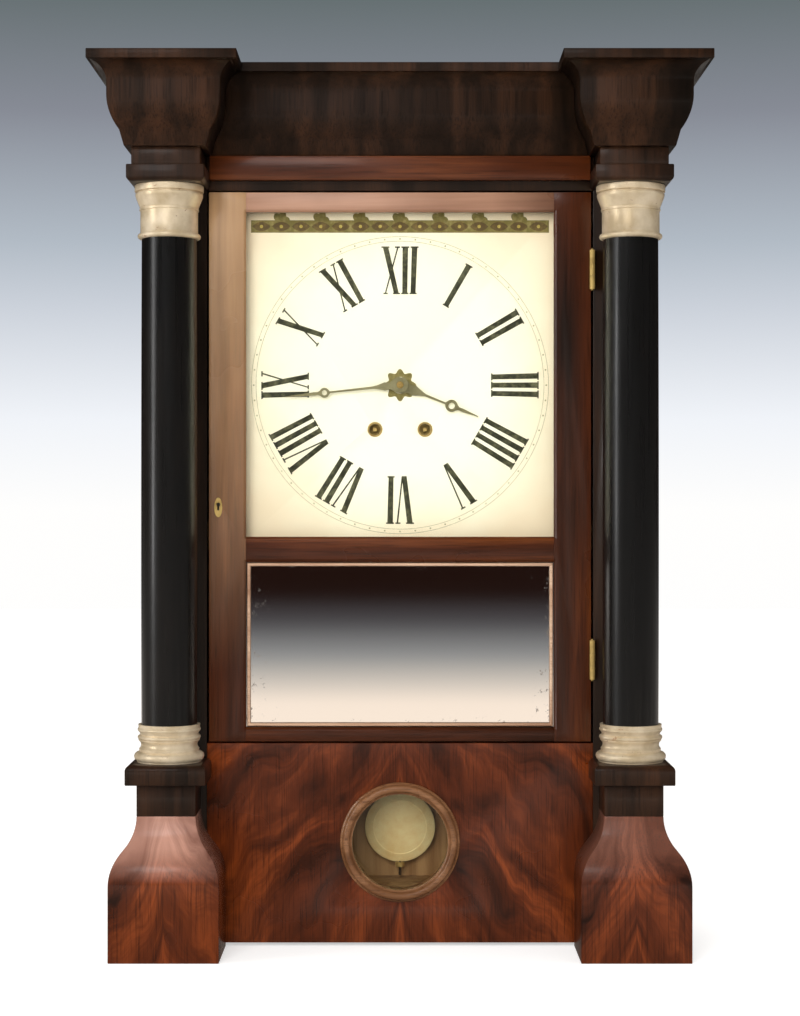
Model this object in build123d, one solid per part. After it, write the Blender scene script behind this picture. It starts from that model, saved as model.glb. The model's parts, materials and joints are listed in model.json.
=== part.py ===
from build123d import *
import os
from math import acos, atan2, cos, degrees, hypot, radians, sin

# Empire column and cornice shelf clock, millimetres.
# X runs to the right, Y to the back and Z up, from the floor under the middle of the case.

# Columns and the square blocks above and below them
column_inset = 16.0
column_y = -28.5
shaft_r = 24.0
foot_half = 46.5
foot_block_h = 64.0
foot_flare_h = 56.0
lower_neck_half = 25.0
lower_neck_h = 27.0
ledge_half = 34.0
ledge_h = 17.0
ledge_round = 5.0
column_base_h = 32.0
column_base_r = 30.0
shaft_h = 415.0
capital_h = 46.0
capital_r = 29.5
capital_ring_h = 5.0
capital_cap_h = 7.0
capital_lip = 1.0
column_waist_r = 24.8
column_collar_r = 27.0
abacus_half = 33.0
abacus_h = 14.0
abacus_round = 4.0
upper_neck_half = 29.0
upper_neck_h = 15.0

# Cornice
cornice_foot_half = 34.5
cornice_bead_half = 38.0
cornice_ogee_half = 47.5
cornice_cavetto_half = 60.0
cornice_bead_h = 13.0
cornice_ogee_h = 28.0
cornice_fillet_h = 11.0
cornice_cavetto_h = 16.0
cornice_slab_half = 62.5
cornice_slab_h = 8.0
cornice_break = 54.0
architrave_h = 21.0
architrave_proud = 8.0

# Case
case_half = 214.0
case_back_y = 91.0
board = 12.0
back_board_t = 7.5
post_w = 46.0
front_t = 18.0
case_floor_z = 34.0
base_panel_foot = 3.0

# Door
door_gap = 1.5
hinge_gap = 2.0
door_bottom_z = 178.0
door_back_gap = 2.0
stile_w = 32.0
top_rail_h = 17.0
middle_rail_h = 22.0
bottom_rail_h = 12.0
mirror_h = 144.0
rebate = 5.0
rebate_lip = 7.0
glass_t = 2.0
mirror_t = 3.0
bead_w = 4.0
backing_t = 4.0
opening_chamfer = 2.0
door_play = 0.3

# Hinges, lock and escutcheon
hinge_axis_out = 3.0
knuckle_r = 2.4
hinge_pin_r = 1.2
hinge_pin_end = 1.0
knuckle_sides = 8
running_play = 0.05
hinge_h = 34.0
knuckle_h = 11.0
knuckle_side_gap = 0.25
hinge_leaf_t = 0.9
hinge_leaf_d = 14.0
hinge_z = (249.0, 588.0)
lock_z = 384.0
lock_w = 20.0
lock_h = 36.0
lock_t = 8.0
lock_skin = 4.5
bolt_h = 10.0
bolt_t = 4.0
bolt_travel = 5.0
bolt_play = 0.3
escutcheon_inset = 8.0
escutcheon_w = 7.0
escutcheon_h = 17.0
escutcheon_t = 0.8
escutcheon_sides = 16
keyhole_r = 1.7
keyhole_slot = 5.0

# Pendulum window
window_z = 90.5
window_ring_r = 52.0
window_clear_r = 41.5
window_hole_gap = 1.0
window_ring_t = 6.0
window_lip = 3.0
window_pane_edge = 2.0
window_glass_t = 2.0
fit_play = 0.3

# Dial
dial_z = 489.0
dial_half = 145.0
dial_top = 162.0
dial_foot = 144.0
dial_t = 3.0
dial_hole_r = 7.0
winding_hole_r = 5.0
hole_sides = 16
dial_block_h = 24.0
dial_block_t = 6.0
dial_block_inset = 8.0

# Movement frame, behind the dial
motion_gap = 10.0
plate_t = 2.0
plate_gap = 32.0
plate_half = 70.0
plate_top = 84.0
plate_foot = 72.0
plate_corner = 14.0
pillar_x = 62.0
pillar_top = 76.0
pillar_foot = 64.0
pillar_r = 3.5
standoff_r = 5.0
arbor_r = 1.5
pivot_play = 0.06
arbor_end = 1.2
stud_r = 1.5
stud_end = 0.6
small_sides = 6

# Teeth, as shares of the module, pointed, with straight flanks
tooth_tip = 0.95
tooth_root = 1.23
wheel_t = 1.6
pinion_t = 4.0
rim_w = 4.0
spoke_w = 3.0
hub_r = 4.5
hub_proud = 0.5

# Time train, counted in teeth, with its module for each mesh
great_teeth = 36
centre_leaves = 6
great_module = 2.13
centre_teeth = 54
third_leaves = 6
centre_module = 0.93
third_teeth = 42
escape_leaves = 6
third_module = 0.87
escape_teeth = 42
escape_r = 17.5
escape_tooth = 3.0
winding_x = 22.0
third_x = -9.6
pallet_span = 11.5
verge_swing = 3.0
pallet_play = 0.28
verge_band = 3.2
crutch_l = 60.0
crutch_gap = 1.8
crutch_slot_play = 1.5

# Strike train
strike_teeth = 39
pin_leaves = 6
strike_module = 1.66
pin_teeth = 42
lock_leaves = 6
pin_module = 0.92
lock_teeth = 36
fly_leaves = 6
lock_module = 0.8
strike_pins = 12
strike_pin_r = 0.8
strike_pin_l = 2.5
strike_pin_ring = 14.0
pin_wheel_x = 40.0
lock_wheel_x = 33.0
fly_x = 35.0
fly_r = 12.5
fly_d = 12.0
fly_t = 0.6
count_r = 27.0
count_sides = 26
notch_depth = 4.0
notch_w = 3.0

# Motion work
cannon_leaves = 10
minute_teeth = 30
cannon_module = 0.9
minute_leaves = 6
hour_teeth = 24
cannon_r = 2.6
hour_pipe_r = 3.8

# Planes of the wheels, each counted back from the front plate's inner face
great_plane = 2.0
centre_plane = 22.3
third_plane = 12.0
escape_plane = 17.8
strike_plane = 27.4
count_plane = 24.6
pin_plane = 15.6
lock_plane = 9.6
hammer_plane = 20.4

# Drums, cords, pulleys and weights
drum_r = 10.5
drum_sides = 16
drum_flange_r = 16.0
drum_flange_t = 1.6
drum_start = 5.0
drum_end = 21.0
great_arbor_r = 2.5
winding_square = 3.2
winding_square_l = 9.0
cord_r = 1.0
cord_play = 0.3
time_turns = 5.0
strike_turns = 2.5
pulley_r = 9.0
pulley_flange_r = 13.0
pulley_t = 6.0
pulley_pin_r = 2.0
pulley_z = 640.0
bracket_t = 2.0
bracket_gap = 0.4
weight_wall_gap = 16.0
weight_w = 52.0
weight_d = 36.0
weight_h = 125.0
weight_hook_h = 12.0
weight_hook_r = 2.5
weight_rest_gap = 0.3

# Hammer and bell
hammer_x = 62.0
hammer_arm_w = 3.0
hammer_arm_t = 1.5
hammer_tail_gap = 0.6
hammer_head_r = 4.5
hammer_head_l = 10.0
hammer_swing = 12.0
bell_x = 45.0
bell_z = 376.0
bell_r = 28.0
bell_depth = 17.0
bell_wall = 2.0
bell_sides = 20
bell_taper = 32
bell_lap = 2.0
bell_post_r = 2.5
bell_gap = 1.0

# Pendulum
pendulum_back = 9.0
verge_z = 72.0
bob_z = 92.0
bob_r = 32.0
bob_t = 11.0
bob_rim_t = 1.6
bob_sides = 28
bob_shoulder = 0.72
bob_crown_r = 23.0
bob_tip_r = 9.0
rod_r = 1.2
rod_thread_l = 12.0
spring_t = 0.3
spring_w = 5.0
spring_l = 14.0
rod_play = 0.3
nut_h = 4.0
nut_r = 4.0
nut_play = 0.1

# Hands
hand_t = 0.6
minute_hand_l = 101.0
hour_hand_l = 74.0
minute_hand_w = 3.8
hour_hand_w = 5.2
hand_boss_r = 7.5
hand_sides = 12
hour_hand_out = 2.6
hand_spacing = 2.0
hand_nut_r = 3.0
hand_nut_t = 1.6
hand_time = (3, 44)

# Planes and levels that follow from the sizes above
front_y = column_y + shaft_r
panel_back_y = front_y + front_t
foot_top_z = foot_block_h + foot_flare_h
ledge_z = foot_top_z + lower_neck_h
base_z = ledge_z + ledge_h
shaft_z = base_z + column_base_h
capital_z = shaft_z + shaft_h
abacus_z = capital_z + capital_h
upper_neck_z = abacus_z + abacus_h
cornice_z = upper_neck_z + upper_neck_h
cornice_moulding_h = cornice_bead_h + cornice_ogee_h + cornice_fillet_h + cornice_cavetto_h
slab_z = cornice_z + cornice_moulding_h
clock_h = slab_z + cornice_slab_h
column_x = case_half - column_inset
weight_x = case_half - board - weight_wall_gap - weight_w / 2
cornice_half_x = column_x + cornice_slab_half
cornice_front_y = column_y - cornice_slab_half
post_x = case_half - post_w
door_half = post_x - hinge_gap
door_top_z = abacus_z - door_gap
sight_half = door_half - stile_w
mirror_z = door_bottom_z + bottom_rail_h
middle_rail_z = mirror_z + mirror_h
sight_z = middle_rail_z + middle_rail_h
sight_top_z = door_top_z - top_rail_h
hinge_x = post_x - hinge_gap / 2
hinge_y = front_y - hinge_axis_out
dial_y = panel_back_y + door_back_gap
plate_y = dial_y + dial_t + motion_gap
works_y = plate_y + plate_t
back_plate_y = works_y + plate_gap
works_back_y = back_plate_y + plate_t
pendulum_y = works_back_y + pendulum_back
back_board_y = case_back_y - back_board_t
hour_hand_y = dial_y - hour_hand_out
minute_hand_y = hour_hand_y - hand_spacing
hand_nut_y = minute_hand_y - hand_t - hand_nut_t

# Arbor places in the front view, X to the right and Z up from the middle of the dial


def mesh_distance(teeth, leaves, module):
    """Distance between the arbors of a wheel and the pinion it drives."""
    return module * (teeth + leaves) / 2


def arbor_above(x, start, distance, side=1):
    """Place of the arbor at the given X that lies the given distance from another arbor."""
    return (x, start[1] + side * (distance**2 - (x - start[0]) ** 2) ** 0.5)


centre = (0.0, 0.0)
great_distance = mesh_distance(great_teeth, centre_leaves, great_module)
great = arbor_above(-winding_x, centre, great_distance, -1)
third = arbor_above(third_x, centre, mesh_distance(centre_teeth, third_leaves, centre_module))
escape = arbor_above(0.0, third, mesh_distance(third_teeth, escape_leaves, third_module))
verge = (0.0, verge_z)
strike_great = (winding_x, great[1])
pin_wheel = arbor_above(
    pin_wheel_x, strike_great, mesh_distance(strike_teeth, pin_leaves, strike_module)
)
lock_wheel = arbor_above(lock_wheel_x, pin_wheel, mesh_distance(pin_teeth, lock_leaves, pin_module))
fly = arbor_above(fly_x, lock_wheel, mesh_distance(lock_teeth, fly_leaves, lock_module))
hammer = (hammer_x, pin_wheel[1])
minute_stud = (0.0, mesh_distance(minute_teeth, cannon_leaves, cannon_module))
hour_module = 2 * minute_stud[1] / (minute_leaves + hour_teeth)

nodes = {}


def polar(r, angle):
    """Point at a radius and an angle in degrees."""
    return (r * cos(radians(angle)), r * sin(radians(angle)))


def block(x0, x1, y0, y1, z0, z1):
    """Box between two corners."""
    return Pos((x0 + x1) / 2, (y0 + y1) / 2, (z0 + z1) / 2) * Box(x1 - x0, y1 - y0, z1 - z0)


def along_y(face, y0, y1):
    """Extrude a face drawn in the front view from one depth to another."""
    plane = Plane(origin=(0, y1, 0), x_dir=(1, 0, 0), z_dir=(0, -1, 0))
    return extrude(plane * face, amount=y1 - y0)


def across_x(face, x0, x1):
    """Extrude a face drawn in the side view, Y by Z, from one side to the other."""
    plane = Plane(origin=(x0, 0, 0), x_dir=(0, 1, 0), z_dir=(1, 0, 0))
    return extrude(plane * face, amount=x1 - x0)


def rod_y(x, z, r, y0, y1):
    """Round bar along Y."""
    return Pos(x, (y0 + y1) / 2, z) * Rot(90, 0, 0) * Cylinder(r, y1 - y0)


def bar_y(x, z, r, y0, y1, sides=small_sides):
    """Many sided bar along Y, for the small round parts of the movement."""
    return Pos(x, 0, z) * along_y(RegularPolygon(r, sides), y0, y1)


def bore_y(x, z, r, y0, y1, sides=small_sides):
    """Many sided hole along Y that a round part of the given radius turns in."""
    return Pos(x, 0, z) * along_y(RegularPolygon(r, sides, major_radius=False), y0, y1)


def turned(*points):
    """Solid of revolution about Z from the corners of half its section, radius by height."""
    return revolve(Plane.XZ * make_face(Polyline(*points, close=True)), Axis.Z)


def both_sides(shape):
    """A shape and its mirror image in the middle plane of the clock."""
    return Compound(children=[shape, mirror(shape, about=Plane.YZ)])


def square_block(section):
    """Mitred square block about Z from half its section, half width by height."""
    outline = make_face(Curve() + list(section) + [mirror(e, about=Plane.YZ) for e in section])
    reach = 2 * max(edge.bounding_box().max.X for edge in section)
    front = Pos(0, reach, 0) * extrude(Plane.XZ * outline, amount=2 * reach)
    return front & Rot(0, 0, 90) * front


def half_section(edges, foot, top):
    """Edges of half a section, run in to the middle line at its foot and its top."""
    return [Line((0, foot[1]), foot)] + edges + [Line(top, (0, top[1]))]


def in_column_place(shape):
    """Move a block to the left column's axis and notch it round the case."""
    notch = block(-case_half, case_half, front_y, case_back_y, 0, slab_z)
    return Pos(-column_x, column_y, 0) * shape - notch


# Column plinths, shafts and capitals


def foot_block():
    """Block foot whose ogee shoulder rises to the plinth's neck."""
    mid = ((foot_half + lower_neck_half) / 2, foot_block_h + foot_flare_h / 2)
    top = (lower_neck_half, foot_top_z)
    edges = [
        Line((foot_half, 0), (foot_half, foot_block_h)),
        TangentArc((foot_half, foot_block_h), mid, tangent=(0, 1)),
        TangentArc(mid, top, tangent=(0, -1), tangent_from_first=False),
    ]
    return square_block(half_section(edges, (foot_half, 0), top))


def neck(half, z0, z1):
    """Plain square neck."""
    return block(-half, half, -half, half, z0, z1)


def moulded_slab(half, z0, z1, rounding, foot_side):
    """Square slab with one rounded edge, on the side towards the column's foot or its top."""
    foot = (half - rounding, z0) if foot_side else (half, z0)
    top = (half, z1) if foot_side else (half - rounding, z1)
    if foot_side:
        corner_arc = TangentArc(foot, (half, z0 + rounding), tangent=(1, 0))
        edges = [corner_arc, Line((half, z0 + rounding), top)]
    else:
        corner_arc = TangentArc((half, z1 - rounding), top, tangent=(0, 1))
        edges = [Line(foot, (half, z1 - rounding)), corner_arc]
    return square_block(half_section(edges, foot, top))


def column_base():
    """Turned gilt base: torus, hollow and collar."""
    torus = column_base_h * 0.38
    collar = column_base_h * 0.74
    return turned(
        (0, 0),
        (column_base_r, 0),
        (column_base_r, torus * 0.7),
        (column_waist_r, torus + 2),
        (column_waist_r, collar),
        (column_collar_r, collar),
        (column_collar_r, column_base_h),
        (0, column_base_h),
    )


def column_shaft():
    """Full round shaft between the base and the capital."""
    return Pos(0, 0, shaft_h / 2) * Cylinder(shaft_r, shaft_h)


def column_capital():
    """Turned gilt capital: necking ring, drum, swelling echinus and cap ring."""
    echinus = capital_h * 0.55
    return turned(
        (0, 0),
        (column_collar_r, 0),
        (column_collar_r, capital_ring_h),
        (column_waist_r, capital_ring_h),
        (column_waist_r, echinus),
        (capital_r - capital_lip, capital_h - capital_cap_h),
        (capital_r, capital_h - capital_cap_h),
        (capital_r, capital_h),
        (0, capital_h),
    )


foot = in_column_place(foot_block())
nodes["feet"] = both_sides(foot)
necks = [
    both_sides(in_column_place(neck(lower_neck_half, foot_top_z, ledge_z))),
    both_sides(in_column_place(neck(upper_neck_half, upper_neck_z, cornice_z))),
]
slabs = [
    both_sides(in_column_place(moulded_slab(ledge_half, ledge_z, base_z, ledge_round, False))),
    both_sides(in_column_place(moulded_slab(abacus_half, abacus_z, upper_neck_z, abacus_round, True))),
]
nodes["column_necks"] = Compound(children=necks)
nodes["column_slabs"] = Compound(children=slabs)
nodes["column_bases"] = both_sides(in_column_place(Pos(0, 0, base_z) * column_base()))
nodes["column_shafts"] = both_sides(Pos(-column_x, column_y, shaft_z) * column_shaft())
nodes["column_capitals"] = both_sides(in_column_place(Pos(0, 0, capital_z) * column_capital()))

# Cornice: one moulding profile, used on the breaks, their returns and the centre


def cornice_edges():
    """Profile of the cornice, half width by height above the foot of the moulding."""
    bead = (cornice_bead_half, cornice_bead_h)
    ogee = (cornice_ogee_half, cornice_bead_h + cornice_ogee_h)
    fillet = (cornice_ogee_half, cornice_bead_h + cornice_ogee_h + cornice_fillet_h)
    top = (cornice_cavetto_half, cornice_moulding_h)
    return [
        Line((cornice_foot_half, 0), bead),
        TangentArc(bead, ogee, tangent=(0, -1), tangent_from_first=False),
        Line(ogee, fillet),
        TangentArc(fillet, top, tangent=(0, 1)),
    ]


def cornice_break_block():
    """Break over the left column, with its return along the case side to the back."""
    edges = cornice_edges()
    half = half_section(edges, (cornice_foot_half, 0), (cornice_cavetto_half, cornice_moulding_h))
    whole = make_face(Curve() + half + [mirror(edge, about=Plane.YZ) for edge in half])
    run = case_back_y - cornice_front_y
    bar = Pos(0, case_back_y - column_y, 0) * extrude(Plane.XZ * whole, amount=run)
    back = case_back_y - column_y
    side = [mirror(edge, about=Plane.YZ) for edge in edges]
    front = make_face(
        Curve()
        + side
        + [
            Line((-cornice_foot_half, 0), (back, 0)),
            Line((back, 0), (back, cornice_moulding_h)),
            Line((back, cornice_moulding_h), (-cornice_cavetto_half, cornice_moulding_h)),
        ]
    )
    wide = across_x(front, -2 * cornice_slab_half, 2 * cornice_slab_half)
    return Pos(0, 0, cornice_z) * (bar & wide)


def cornice_centre():
    """Recessed centre moulding, cut to meet the breaks at both ends."""
    shift = column_y + cornice_break
    face = make_face(
        Curve()
        + [Pos(shift, 0) * mirror(edge, about=Plane.YZ) for edge in cornice_edges()]
        + [
            Line((shift - cornice_foot_half, 0), (front_y, 0)),
            Line((front_y, 0), (front_y, cornice_moulding_h)),
            Line((front_y, cornice_moulding_h), (shift - cornice_cavetto_half, cornice_moulding_h)),
        ]
    )
    return Pos(0, 0, cornice_z) * across_x(face, -column_x, column_x)


def cornice_slab():
    """Top board, broken forward over both columns."""
    inner = column_x - cornice_slab_half
    recess_y = cornice_front_y + cornice_break
    whole = block(-cornice_half_x, cornice_half_x, cornice_front_y, case_back_y, slab_z, clock_h)
    return whole - block(-inner, inner, cornice_front_y, recess_y, slab_z, clock_h)


corner = in_column_place(cornice_break_block())
nodes["cornice_breaks"] = both_sides(corner)
nodes["cornice_centre"] = cornice_centre() - corner - mirror(corner, about=Plane.YZ)
nodes["cornice_slab"] = cornice_slab()
nodes["architrave_strip"] = block(
    abacus_half - column_x,
    column_x - abacus_half,
    front_y - architrave_proud,
    front_y,
    cornice_z - architrave_h,
    cornice_z,
)

# Case: sides, back, top, floor, posts and rails


def side_board():
    """Left side board, from the floor to the cornice slab."""
    return block(-case_half, board - case_half, panel_back_y, back_board_y, 0, slab_z)


def front_post():
    """Left front post behind the column, with the pocket for the door's bolt."""
    post = block(-case_half, -post_x, front_y, panel_back_y, 0, slab_z)
    bolt_y = front_y + lock_skin + lock_t / 2
    pocket = block(
        -post_x - bolt_travel - bolt_play,
        -post_x,
        bolt_y - bolt_t / 2 - bolt_play,
        bolt_y + bolt_t / 2 + bolt_play,
        lock_z - bolt_h / 2 - bolt_play,
        lock_z + bolt_h / 2 + bolt_play,
    )
    return post, post - pocket


plain_post, pocket_post = front_post()
inner_half = case_half - board
window_hole_r = window_clear_r + window_hole_gap
nodes["case_sides"] = both_sides(side_board())
nodes["back_board"] = block(-case_half, case_half, back_board_y, case_back_y, 0, slab_z)
case_top = block(-inner_half, inner_half, panel_back_y, back_board_y, slab_z - board, slab_z)
case_floor = block(
    -inner_half, inner_half, panel_back_y, back_board_y, case_floor_z, case_floor_z + board
)
nodes["case_boards"] = Compound(children=[case_top, case_floor])
front_rail = block(-post_x, post_x, front_y, panel_back_y, abacus_z, slab_z)
right_post = mirror(plain_post, about=Plane.YZ)
nodes["front_frame"] = Compound(children=[pocket_post, right_post, front_rail])
base_panel = block(
    -post_x, post_x, front_y, panel_back_y, base_panel_foot, door_bottom_z - door_gap
)
nodes["base_panel"] = base_panel - rod_y(0, window_z, window_hole_r, front_y, panel_back_y)

# Pendulum window: turned ring and its glass


def window_ring():
    """Turned ring planted on the panel round its hole, sloping in and out from a flat nose."""
    ring = turned(
        (window_clear_r, 0),
        (window_clear_r + window_lip, window_ring_t),
        (window_ring_r - window_lip, window_ring_t),
        (window_ring_r, 0),
    )
    return Pos(0, front_y, window_z) * Rot(90, 0, 0) * ring


pane_half = window_hole_r + window_pane_edge
nodes["window_ring"] = window_ring()
nodes["window_glass"] = block(
    -pane_half,
    pane_half,
    panel_back_y,
    panel_back_y + window_glass_t,
    window_z - pane_half,
    window_z + pane_half,
)

# Door: frame, glass, mirror and their fastenings


def door_member(x0, x1, z0, z1, sight):
    """Rail or stile, rebated behind and chamfered in front round a sight opening."""
    member = block(x0, x1, front_y, panel_back_y, z0, z1)
    for left, right, foot, top in sight:
        member -= block(
            left - rebate, right + rebate, front_y + rebate_lip, panel_back_y, foot - rebate, top + rebate
        )
        mouth = Plane(origin=(0, front_y + opening_chamfer, 0), x_dir=(1, 0, 0), z_dir=(0, -1, 0))
        frame = Pos((left + right) / 2, (foot + top) / 2) * Rectangle(right - left, top - foot)
        member -= extrude(mouth * frame, amount=opening_chamfer, taper=-45)
    return member


sights = (
    (-sight_half, sight_half, sight_z, sight_top_z),
    (-sight_half, sight_half, mirror_z, middle_rail_z),
)
lock_y = front_y + lock_skin
lock_x = -door_half
keyhole_x = -door_half + escutcheon_inset
bolt_mid_y = lock_y + lock_t / 2


def keyhole(y0, y1):
    """Round eye with a slot under it."""
    eye = bar_y(keyhole_x, lock_z, keyhole_r, y0, y1)
    return eye + block(keyhole_x - 0.8, keyhole_x + 0.8, y0, y1, lock_z - keyhole_slot, lock_z)


left_stile = door_member(-door_half, -sight_half, door_bottom_z, door_top_z, sights)
left_stile -= block(
    lock_x, lock_x + lock_w, lock_y, lock_y + lock_t, lock_z - lock_h / 2, lock_z + lock_h / 2
)
left_stile -= keyhole(front_y, lock_y)
right_stile = door_member(sight_half, door_half, door_bottom_z, door_top_z, sights)
rails = [
    door_member(-sight_half, sight_half, sight_top_z, door_top_z, sights[:1]),
    door_member(-sight_half, sight_half, middle_rail_z, sight_z, sights),
    door_member(-sight_half, sight_half, door_bottom_z, mirror_z, sights[1:]),
]
nodes["door_stiles"] = Compound(children=[left_stile, right_stile])
nodes["door_rails"] = Compound(children=rails)


def pane(sight, y0, y1, play):
    """Sheet that fills the rebate behind a sight opening, with a little play."""
    left, right, foot, top = sight
    edge = rebate - play
    return block(left - edge, right + edge, y0, y1, foot - edge, top + edge)


def beads(sight, y0, y1):
    """Loop of glazing bead round the rebate."""
    left, right, foot, top = sight
    inner = block(
        left - rebate + bead_w, right + rebate - bead_w, y0, y1, foot - rebate + bead_w, top + rebate - bead_w
    )
    return pane(sight, y0, y1, 0) - inner


glass_y = front_y + rebate_lip
nodes["door_glass"] = pane(sights[0], glass_y, glass_y + glass_t, door_play)
nodes["mirror"] = pane(sights[1], glass_y, glass_y + mirror_t, door_play)
glazing_beads = beads(sights[0], glass_y + glass_t, glass_y + glass_t + bead_w)
mirror_back = pane(sights[1], glass_y + mirror_t, glass_y + mirror_t + backing_t, door_play)
nodes["door_backing"] = Compound(children=[glazing_beads, mirror_back])


def escutcheon():
    """Oval brass plate round the keyhole."""
    points = []
    for number in range(escutcheon_sides):
        angle = radians(360 * number / escutcheon_sides)
        points.append((escutcheon_w / 2 * sin(angle), escutcheon_h / 2 * cos(angle)))
    oval = Pos(keyhole_x, lock_z - keyhole_slot / 2) * make_face(Polyline(*points, close=True))
    return along_y(oval, front_y - escutcheon_t, front_y) - keyhole(front_y - escutcheon_t, front_y)


bolt_z0 = lock_z - bolt_h / 2
bolt_z1 = lock_z + bolt_h / 2
bolt_y0 = bolt_mid_y - bolt_t / 2
bolt_y1 = bolt_mid_y + bolt_t / 2
bolt_end = lock_x + lock_w - bolt_t
lock_body = block(
    lock_x, lock_x + lock_w, lock_y, lock_y + lock_t, lock_z - lock_h / 2, lock_z + lock_h / 2
)
bolt_way = block(
    lock_x, bolt_end, bolt_y0 - bolt_play, bolt_y1 + bolt_play, bolt_z0 - bolt_play, bolt_z1 + bolt_play
)
key_well = keyhole(lock_y, bolt_y0 - bolt_play)
nodes["escutcheon"] = escutcheon()
nodes["lock_case"] = lock_body - bolt_way - key_well
nodes["lock_bolt"] = block(lock_x, bolt_end - bolt_play, bolt_y0, bolt_y1, bolt_z0, bolt_z1)


def hinge_parts(z):
    """Door leaf, case leaf and pin of one butt hinge."""
    foot = z - hinge_h / 2
    top = z + hinge_h / 2
    mid0 = z - knuckle_h / 2
    mid1 = z + knuckle_h / 2
    bore_face = RegularPolygon(hinge_pin_r + running_play, knuckle_sides, major_radius=False)
    bore = Pos(hinge_x, hinge_y, foot) * extrude(bore_face, amount=hinge_h)
    door_x0 = hinge_x - hinge_gap / 2
    case_x1 = hinge_x + hinge_gap / 2
    leaf_end = front_y + hinge_leaf_d

    def knuckle(z0, z1):
        barrel = extrude(RegularPolygon(knuckle_r, knuckle_sides), amount=z1 - z0)
        return Pos(hinge_x, hinge_y, z0) * barrel

    door_leaf = block(door_x0, door_x0 + hinge_leaf_t, front_y, leaf_end, foot, top)
    door_leaf += block(door_x0, door_x0 + hinge_leaf_t, hinge_y, front_y, mid0, mid1)
    door_leaf += knuckle(mid0, mid1)
    case_leaf = block(case_x1 - hinge_leaf_t, case_x1, front_y, leaf_end, foot, top)
    for z0, z1 in ((foot, mid0 - knuckle_side_gap), (mid1 + knuckle_side_gap, top)):
        case_leaf += block(case_x1 - hinge_leaf_t, case_x1, hinge_y, front_y, z0, z1)
        case_leaf += knuckle(z0, z1)
    pin_face = RegularPolygon(hinge_pin_r, knuckle_sides)
    pin = Pos(hinge_x, hinge_y, foot - hinge_pin_end) * extrude(pin_face, amount=hinge_h + 2 * hinge_pin_end)
    return door_leaf - bore, case_leaf - bore, pin


hinges = [hinge_parts(z) for z in hinge_z]
nodes["hinge_door_leaves"] = Compound(children=[parts[0] for parts in hinges])
nodes["hinge_case_leaves"] = Compound(children=[solid for parts in hinges for solid in parts[1:]])

# Dial and the blocks that carry it


def dial_plate():
    """Painted dial with its centre hole and two winding holes."""
    plate = block(
        -dial_half, dial_half, dial_y, dial_y + dial_t, dial_z - dial_foot, dial_z + dial_top
    )
    plate -= bar_y(0, dial_z, dial_hole_r, dial_y, dial_y + dial_t, hole_sides)
    for x, z in (great, strike_great):
        plate -= bar_y(x, dial_z + z, winding_hole_r, dial_y, dial_y + dial_t, hole_sides)
    return plate


def dial_blocks():
    """Four thin blocks on the case sides, which the dial is pinned to."""
    y0 = dial_y + dial_t
    x0 = dial_half - dial_block_inset
    found = []
    for z in (dial_z + dial_top - dial_block_h, dial_z - dial_foot):
        found.append(block(x0, inner_half, y0, y0 + dial_block_t, z, z + dial_block_h))
    return Compound(children=found + [mirror(solid, about=Plane.YZ) for solid in found])


nodes["dial"] = dial_plate()
nodes["dial_blocks"] = dial_blocks()

# Toothed wheels


def mesh_phase(phase, teeth, leaves, start, end):
    """Angle of the follower's first tooth, so that it is in mesh with the driver at rest."""
    line = degrees(atan2(end[1] - start[1], end[0] - start[0]))
    return line + 180 + 180 / leaves - (phase - line) * teeth / leaves


def toothed(teeth, module, phase):
    """Outline of a wheel with pointed teeth, its first tooth at the phase angle."""
    pitch_r = teeth * module / 2
    tip_r = pitch_r + tooth_tip * module
    root_r = pitch_r - tooth_root * module
    points = []
    for tooth in range(teeth):
        angle = phase + tooth * 360 / teeth
        points.append(polar(tip_r, angle))
        points.append(polar(root_r, angle + 180 / teeth))
    return make_face(Polyline(*points, close=True))


def crossing_windows(inner_r, outer_r, count, phase):
    """Openings between the spokes of a crossed out wheel."""
    found = Sketch()
    step = 360 / count
    for number in range(count):
        points = []
        for r, turns in ((outer_r, (0, 0.5, 1)), (inner_r, (1, 0))):
            margin = degrees(spoke_w / 2 / r)
            for turn in turns:
                points.append(polar(r, phase + number * step + margin + turn * (step - 2 * margin)))
        found += make_face(Polyline(*points, close=True))
    return found


def wheel(place, teeth, module, phase, plane, hole_r=0.0):
    """Crossed out wheel with its hub, between the plates."""
    root_r = teeth * module / 2 - tooth_root * module
    face = toothed(teeth, module, phase)
    face -= crossing_windows(hub_r + 1.5, root_r - rim_w, 4, phase)
    y0 = works_y + plane
    y1 = y0 + wheel_t
    found = along_y(face, y0, y1) + bar_y(0, 0, hub_r, y0 - hub_proud, y1 + hub_proud)
    if hole_r:
        found -= bore_y(0, 0, hole_r, y0 - hub_proud, y1 + hub_proud)
    return Pos(place[0], 0, dial_z + place[1]) * found


def pinion(place, leaves, module, phase, plane, length=pinion_t):
    """Pinion whose middle lies in the middle of the wheel that drives it."""
    mid = works_y + plane + wheel_t / 2
    found = along_y(toothed(leaves, module, phase), mid - length / 2, mid + length / 2)
    return Pos(place[0], 0, dial_z + place[1]) * found


def arbor(place, r=arbor_r, front=arbor_end, back=arbor_end):
    """Arbor through both plates."""
    y0 = works_y - plate_t - front
    y1 = works_back_y + back
    return bar_y(place[0], dial_z + place[1], r, y0, y1)


# Time train, from the great wheel to the escape wheel

great_phase = 0.0
centre_leaf_phase = mesh_phase(great_phase, great_teeth, centre_leaves, great, centre)
centre_phase = 0.0
third_leaf_phase = mesh_phase(centre_phase, centre_teeth, third_leaves, centre, third)
third_phase = 0.0
escape_leaf_phase = mesh_phase(third_phase, third_teeth, escape_leaves, third, escape)


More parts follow.
